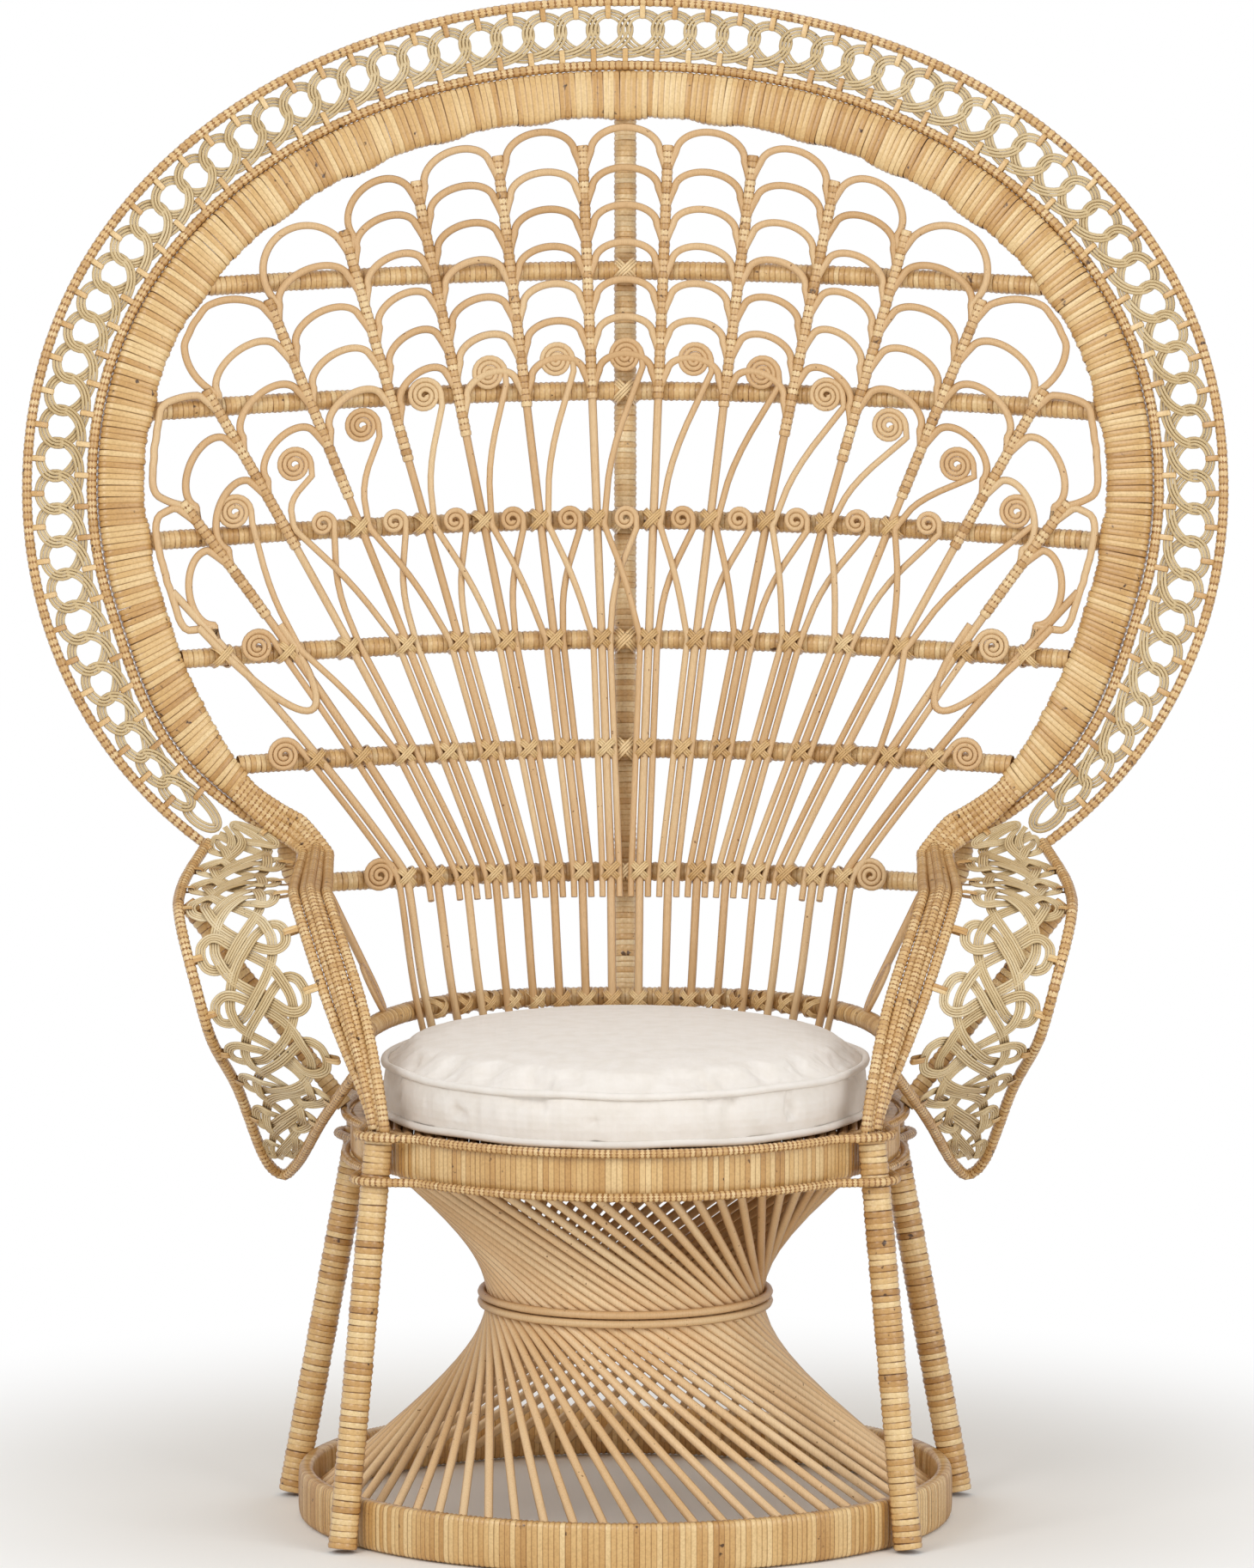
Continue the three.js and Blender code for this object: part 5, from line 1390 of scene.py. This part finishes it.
wingLine = wingCorners()
wingRows = ((0.03, 0.03, None), (0.06, 0.14, None), (0.1, 0.28, None), (0.2, 0.45, None), (0.3, 0.6, None),
            (0.4, 0.73, None), (0.46, None, 0.955), (0.5, None, 0.92), (0.54, None, 0.885), (0.57, None, 0.845),
            (0.6, None, 0.81))
armHalf = 4 * arm["strand"]
laceTip = inset(rimEnd, laceEdge(rimEnd))
wingOuter = [wingLine[0]] + [catmull(wingLine, rim) for rim, front, rear in wingRows]
wingInner = [onBack(laceTip.x, laceTip.y, borderLift + 0.006)]
wingInner += [armSpot(1, front, armHalf) if front else catmull(wingLine, rear) for rim, front, rear in wingRows]


def wingSpot(s, v, lift=0.0):
    # s runs down the wing, v from the rim at 0 to the arm at 1
    a, b = catmull(wingOuter, s), catmull(wingInner, s)
    low, high = max(0.0, s - 0.01), min(1.0, s + 0.01)
    onward = catmull(wingOuter, high).lerp(catmull(wingInner, high), v)
    onward -= catmull(wingOuter, low).lerp(catmull(wingInner, low), v)
    normal = onward.cross(b - a).normalized()
    return a.lerp(b, v) + normal * lift, (b - a).length


# lengths down the middle of the wing, so that the knots are spaced evenly
wingSteps = [wingSpot(i / 200, 0.5)[0] for i in range(201)]
wingLengths = [0.0]
for before, after in zip(wingSteps, wingSteps[1:]):
    wingLengths.append(wingLengths[-1] + (after - before).length)
knots = int(wingLengths[-1] / wing["knot"])


def wingShare(length):
    k = 0
    while k < 199 and wingLengths[k + 1] < length:
        k += 1
    share = (length - wingLengths[k]) / max(1e-9, wingLengths[k + 1] - wingLengths[k])
    return min(0.9995, max(0.0005, (k + min(1.0, max(0.0, share))) / 200))


# one strand of a knot, as (down, across, lift): it comes in over the middle, turns through the side
# loop, goes out under the middle and bows round the loop of the next knot; two knots make one repeat
knotWay = ((-50, 31, 0), (-38, 28, -1), (-26, 21.5, 0), (-15, 11, 0.9), (-4, -3, 1), (4, -13, 0.5), (11, -23, -1),
           (13.5, -32, -0.6), (11.5, -40, 0), (6.5, -45, 0), (0, -46.5, 0), (-6.5, -45, 0), (-11.5, -40, 0),
           (-13.5, -32, 0.6), (-11, -23, 1), (-4, -13, -0.5), (4, -3, -1), (15, 11, -0.9), (26, 21.5, 0), (38, 28, 1))
knotReach = 51.0


def strandWay(hand, phase):
    # the strand's points as (length down the wing, share across from -1 to 1, lift)
    way = []
    for turn in range(-1, knots // 2 + 2):
        for down, across, lift in knotWay:
            length = wing["knot"] * (wing["first"] + phase + 2 * turn + down / 50)
            way.append(Vector((length, -hand * across / knotReach, hand * lift * wing["weave"])))
    last = wingLengths[-1] - 0.004
    return [p for p in way if 0.003 < p.x < last]


def wingRun(side, hand, phase, ply):
    # the plies of a strand lie side by side, closer where the wing is narrow
    way = strandWay(hand, phase)
    shift = (ply - (wing["ply"] - 1) / 2) * wing["plyStep"]
    spine, lifts, sizes = [], [], []
    count = 3 * len(way)
    for k in range(count + 1):
        p = catmull(way, k / count)
        share = wingShare(p.x)
        width = wingSpot(share, 0.5)[1]
        size = min(1.0, max(wing["least"], width / wing["full"]))
        v = 0.5 + p.y * (0.5 - size * wing["margin"] / width)
        sizes.append(size)
        spine.append(wingSpot(share, v, p.z * size)[0])
        lifts.append(wingSpot(share, v, p.z * size + 0.01)[0] - spine[-1])
    line = []
    for k, p in enumerate(spine):
        along = spine[min(count, k + 1)] - spine[max(0, k - 1)]
        q = p + along.cross(lifts[k]).normalized() * shift * sizes[k]
        line.append(onSide(q, side))
    return line, [wing["reed"] * size for size in sizes]


def wingTies(side):
    # short bindings from each side loop to the wing's rim and to the arm
    places = []
    for k in range(knots):
        share = wingShare(wing["knot"] * (wing["first"] + k))
        a, width = wingSpot(share, 0.0)
        b, width = wingSpot(share, 1.0)
        onward = wingSpot(min(1, share + 0.01), 0.5)[0] - wingSpot(max(0, share - 0.01), 0.5)[0]
        across = (b - a).normalized()
        size = min(1.0, max(wing["least"], width / wing["full"]))
        for middle in (a + across * size * wing["margin"] * 0.75, b - across * size * wing["margin"] * 0.75):
            for step in (-0.5, 0.5):
                p = middle + onward.normalized() * step * wing["tieStep"] * size
                turn = turnTo(onSide(onward, side), onSide(across, side))
                places.append((onSide(p, side), turn, (1.25 * size, 0.95 * size, 0.7 * size)))
    return places


wingTie = tieTurn("wingTie")
for side, word in ((-1, "left"), (1, "right")):
    rimPath = [onSide(catmull(wingLine, i / 110), side) for i in range(111)]
    woundRods(f"wingRim_{word}", [rimPath], wing["rod"], 180 + side, wing["rimStrip"], sides=10,
              nodes=(f"wing_rim_{word}",), material=rodStrip)
    low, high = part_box(f"wing_brace_{word}")
    outerX, innerX = (low.x, high.x) if side < 0 else (high.x, low.x)
    topEnd = Vector((outerX - side * 0.009, seatY + 0.031, high.z - 0.006))
    lowEnd = Vector((innerX + side * 0.008, seatY - 0.002, low.z + 0.005))
    bracePath = [topEnd.lerp(lowEnd, i / 24) for i in range(25)]
    woundRods(f"wingBrace_{word}", [bracePath], wing["brace"], 184 + side, wing["braceStrip"], sides=14,
              nodes=(f"wing_brace_{word}",))
    strands = [(hand, phase, ply) for hand in (-1, 1) for phase in (0, 1) for ply in range(wing["ply"])]
    runs = [wingRun(side, *strand) for strand in strands]
    canes(f"wingWeave_{word}", runs, 188 + side, splitReed, (f"wing_weave_{word}",), sides=6)
    stamps(f"wingTies_{word}", wingTie, wingTies(side), 190 + side, woundStrip)
    # two coils of one cane under the arm: the large one stands on the seat rail, the small one meets the arm
    low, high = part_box(f"arm_scroll_{word}")
    footX, topX = (high.x, low.x) if side < 0 else (low.x, high.x)
    large, small = arm["scrollRadius"], arm["scrollTopRadius"]
    lowCoil = spiralPoints((seatY + arm["scrollY"], low.z + large - arm["scrollMore"]), large, 0.0, -1)[::-1]
    highCoil = spiralPoints((seatY + arm["scrollY"] + large - small, high.z - small + arm["scrollMore"]), small, 0.0, 1)
    footX, topX = footX + side * arm["scrollRod"], topX - side * arm["scrollRod"]
    line = [Vector((mix(footX, topX, (z - low.z) / (high.z - low.z)), y, z)) for y, z in lowCoil + highCoil]
    radii = tapered(1, len(lowCoil) - 1, arm["scrollRod"])[::-1] + tapered(1, len(highCoil) - 1, arm["scrollRod"])
    canes(f"armScroll_{word}", [(line, radii)], 192 + side, nodes=(f"arm_scroll_{word}",))
dropStamps(wingTie)
print("arms and wings made")

# cushion
cushion = {
    "radius": 0.229, "edge": 0.054, "crown": 0.026, "piping": 0.0036, "lowSeam": 0.0055, "highSeam": 0.051,
    "voxel": 0.005, "pressure": 4.0, "frames": 20, "cap": 0.010, "shrink": 0.005, "fill": 0.7,
    "folds": 64, "bulge": 0.0035, "quality": 6, "tension": 30, "compression": 12, "bending": 0.6, "swell": -0.035,
}


def cushionProfile(shrink):
    r, e = cushion["radius"] - shrink, cushion["edge"]
    under = [(0, 0.001), (r * 0.5, 0.0005), (r * 0.86, 0.0006)]
    wall = [(r - 0.004, 0.004), (r - 0.002, 0.012), (r - 0.004, e * 0.5), (r - 0.002, e - 0.010),
            (r - 0.004, e - 0.002)]
    crown = [(r * reach, e + cushion["crown"] * rise - shrink)
             for reach, rise in ((0.9, 0.42), (0.74, 0.70), (0.4, 0.88), (0, 0.92))]
    return under + wall + crown


cushionLow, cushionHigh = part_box("cushion")
cushionMiddle = Vector(((cushionLow.x + cushionHigh.x) / 2, (cushionLow.y + cushionHigh.y) / 2, cushionLow.z))


def turned(profile, count):
    points, faces = [], []
    for r, z in profile[1:-1]:
        for i in range(count):
            a = 2 * math.pi * i / count
            points.append(cushionMiddle + Vector((r * math.cos(a), r * math.sin(a), z)))
    for j in range(len(profile) - 3):
        for i in range(count):
            k = (i + 1) % count
            faces.append((j * count + i, j * count + k, (j + 1) * count + k, (j + 1) * count + i))
    low, high = len(points), len(points) + 1
    points += [cushionMiddle + Vector((0, 0, profile[0][1])), cushionMiddle + Vector((0, 0, profile[-1][1]))]
    last = (len(profile) - 3) * count
    for i in range(count):
        k = (i + 1) % count
        faces.append((low, k, i))
        faces.append((high, last + i, last + k))
    return points, faces


def cushionPiece():
    points, faces = turned(cushionProfile(cushion["shrink"]), 120)
    mesh = bpy.data.meshes.new("cushionCover")
    mesh.from_pydata([tuple(p) for p in points], [], faces)
    piece = bpy.data.objects.new("cushionCover", mesh)
    bpy.context.scene.collection.objects.link(piece)
    bpy.context.view_layer.objects.active = piece
    piece.select_set(True)
    mesh.remesh_voxel_size = cushion["voxel"]
    bpy.ops.object.voxel_remesh()
    rest = [v.co.copy() for v in piece.data.vertices]
    cloth = piece.modifiers.new("cloth", "CLOTH")
    cloth.settings.use_pressure = True
    cloth.settings.uniform_pressure_force = cushion["pressure"]
    cloth.settings.effector_weights.gravity = 0
    cloth.settings.quality = cushion["quality"]
    cloth.settings.tension_stiffness = cushion["tension"]
    cloth.settings.compression_stiffness = cushion["compression"]
    cloth.settings.bending_stiffness = cushion["bending"]
    cloth.settings.shrink_min = cushion["swell"]
    for number in range(1, cushion["frames"] + 1):
        bpy.context.scene.frame_set(number)
    graph = bpy.context.evaluated_depsgraph_get()
    swollen = [v.co.copy() for v in piece.evaluated_get(graph).data.vertices]
    piece.modifiers.remove(cloth)
    bpy.context.scene.frame_set(1)
    floor = cushionLow.z + 0.0008
    for v, a, b in zip(piece.data.vertices, rest, swollen):
        step = b - a
        if step.length > cushion["cap"]:
            step = step.normalized() * cushion["cap"]
        p = a + step
        out = Vector((p.x - cushionMiddle.x, p.y - cushionMiddle.y, 0))
        radius = out.length
        if radius > cushion["radius"] - 0.0005:
            p -= out.normalized() * (radius - cushion["radius"] + 0.0005)
        p.z = max(floor, p.z)
        v.co = p
    return piece


def gatherSeams(piece):
    # the side wall stands between the two piped seams, with soft upright folds
    low = cushionMiddle.z + cushion["lowSeam"]
    high = cushionMiddle.z + cushion["highSeam"]
    seamRadius = cushion["radius"] - cushion["piping"] * 1.35
    dice = random.Random(71)
    folds = [(dice.uniform(0, 2 * math.pi), dice.uniform(0.02, 0.07), dice.uniform(0.0006, 0.0024),
              dice.uniform(-0.5, 0.5)) for _ in range(cushion["folds"])]
    for v in piece.data.vertices:
        dx, dy = v.co.x - cushionMiddle.x, v.co.y - cushionMiddle.y
        radius = math.hypot(dx, dy)
        if radius < cushion["radius"] * 0.8:
            continue
        out = Vector((dx / radius, dy / radius, 0))
        a = math.atan2(dy, dx)
        share = (v.co.z - low) / (high - low)
        rim = ease(radius, cushion["radius"] * 0.9, cushion["radius"] - 0.012)
        if share < 0.4:  # the foot of the wall comes out to the lower piping
            rim = max(rim, ease(radius, cushion["radius"] * 0.84, cushion["radius"] * 0.92))
        if -0.35 < share < 1.25:
            inside = min(1.0, max(0.0, share))
            goal = seamRadius + cushion["bulge"] * math.sin(math.pi * inside)
            goal = goal - max(0.0, share - 1) * 0.05 - max(0.0, -share) * 0.03
            for middle, wide, deep, slant in folds:
                gap = (a - middle - slant * 0.05 * share + math.pi) % (2 * math.pi) - math.pi
                goal -= deep * math.exp(-(gap / wide * 2) ** 2) * math.sin(math.pi * inside)
            v.co += out * (goal - radius) * rim
    piece.data.update()


cover = cushionPiece()
gatherSeams(cover)
for face in cover.data.polygons:
    face.use_smooth = True
cover.data.materials.append(linen)
smoothing = cover.modifiers.new("smooth", "SUBSURF")
smoothing.levels = 1
smoothing.render_levels = 1
settle(cover, ("cushion",), "loose_cushion")

loops = []
for z in (cushion["lowSeam"], cushion["highSeam"]):
    loop = []
    for k in range(200):
        a = 2 * math.pi * k / 200
        r = cushion["radius"] - cushion["piping"] * 0.75
        wobble = 0.0006 * math.sin(7 * a + z * 900) + 0.0004 * math.sin(13 * a)
        loop.append(cushionMiddle + Vector((r * math.cos(a), r * math.sin(a), z + wobble)))
    loops.append(loop)
points, edges = strings(loops, True)
host = hostMesh("cushionPiping", points, edges)
giveFloats(host, "caneRadius", [cushion["piping"]] * len(points))
giveFloats(host, "tone", [0.5] * len(points))
piping = runNodes(host, bendCanes, {"Sides": 10, "Uneven": 0.08, "Material": linen})
settle(piping, (), "loose_cushion")
print("cushion made")


# studio
def shownRays(nodes, links):
    # one for rays from the camera, from a reflection or through glass
    path = wired(nodes, links, "ShaderNodeLightPath")
    seen = reckon(nodes, links, "MAXIMUM", path.outputs["Is Camera Ray"], path.outputs["Is Glossy Ray"])
    return reckon(nodes, links, "MAXIMUM", seen, path.outputs["Is Transmission Ray"])


studio = {"floor": "f3f1ed", "key": 125.0, "fill": 100.0, "top": 28.0, "world": 0.6, "near": 0.42, "far": 1.05}
floorMaterial, nodes, links, shader = shaderTree("floorPaper")
shader.inputs["Base Color"].default_value = tint(studio["floor"])
shader.inputs["Roughness"].default_value = 0.9
shader.inputs["Specular IOR Level"].default_value = 0.1
place = wired(nodes, links, "ShaderNodeTexCoord").outputs["Object"]
away = wired(nodes, links, "ShaderNodeVectorMath", {0: place}, operation="LENGTH").outputs["Value"]
fade = wired(nodes, links, "ShaderNodeMapRange",
             {"Value": away, "From Min": studio["near"], "From Max": studio["far"]},
             interpolation_type="SMOOTHSTEP").outputs["Result"]
share = reckon(nodes, links, "MULTIPLY", fade, shownRays(nodes, links))
glow = wired(nodes, links, "ShaderNodeEmission", {"Color": (1, 1, 1, 1), "Strength": 1.0})
blend = wired(nodes, links, "ShaderNodeMixShader", {"Fac": share})
links.new(shader.outputs[0], blend.inputs[1])
links.new(glow.outputs[0], blend.inputs[2])
links.new(blend.outputs[0], nodes["Material Output"].inputs["Surface"])
bpy.ops.mesh.primitive_plane_add(size=40, location=(0, 0, -0.0006))
floor = bpy.context.object
floor.name = "floor"
floor.data.materials.append(floorMaterial)
floor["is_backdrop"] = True

world = bpy.data.worlds.new("studio")
bpy.context.scene.world = world
world.use_nodes = True
wn, wl = world.node_tree.nodes, world.node_tree.links
sky = wn["Background"]
sky.inputs["Color"].default_value = (1, 1, 1, 1)
sky.inputs["Strength"].default_value = studio["world"]
plain = wired(wn, wl, "ShaderNodeBackground", {"Color": (1, 1, 1, 1), "Strength": 1.0})
chooser = wired(wn, wl, "ShaderNodeMixShader", {"Fac": shownRays(wn, wl)})
wl.new(sky.outputs[0], chooser.inputs[1])
wl.new(plain.outputs[0], chooser.inputs[2])
wl.new(chooser.outputs[0], wn["World Output"].inputs["Surface"])


def lamp(name, place, goal, power, size):
    data = bpy.data.lights.new(name, "AREA")
    data.energy = power
    data.size = size
    made = bpy.data.objects.new(name, data)
    made.location = place
    made.rotation_euler = (Vector(goal) - Vector(place)).to_track_quat("-Z", "Y").to_euler()
    bpy.context.scene.collection.objects.link(made)


lamp("keyLight", (-3.2, -4.6, 3.6), (0, 0, 0.7), studio["key"], 2.6)
lamp("fillLight", (3.8, -4.2, 2.4), (0, 0, 0.7), studio["fill"], 3.0)
lamp("topLight", (0, 0.8, 4.6), (0, 0, 0.6), studio["top"], 3.0)

# camera
lens = {
    "distance": 12.5, "height": 2.3845, "pitch": 7.697, "focal": 15638.26, "sensor": 36.0,
    "wide": 1460, "tall": 1826, "middle": 728,
}
camera = bpy.data.cameras.new("camera")
camera.sensor_fit = "AUTO"
camera.sensor_width = lens["sensor"]
camera.lens = lens["focal"] * lens["sensor"] / lens["tall"]
camera.shift_x = (lens["wide"] / 2 - lens["middle"]) / lens["tall"]
camera.clip_end = 100
eye = bpy.data.objects.new("camera", camera)
eye.location = (0, seatY - lens["distance"], lens["height"])
eye.rotation_euler = (math.radians(90 - lens["pitch"]), 0, 0)
bpy.context.scene.collection.objects.link(eye)
bpy.context.scene.camera = eye
bpy.context.scene.view_settings.view_transform = "Standard"

triangles = sum(len(p.vertices) - 2 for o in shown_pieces() for p in o.data.polygons)
print("triangles", triangles)
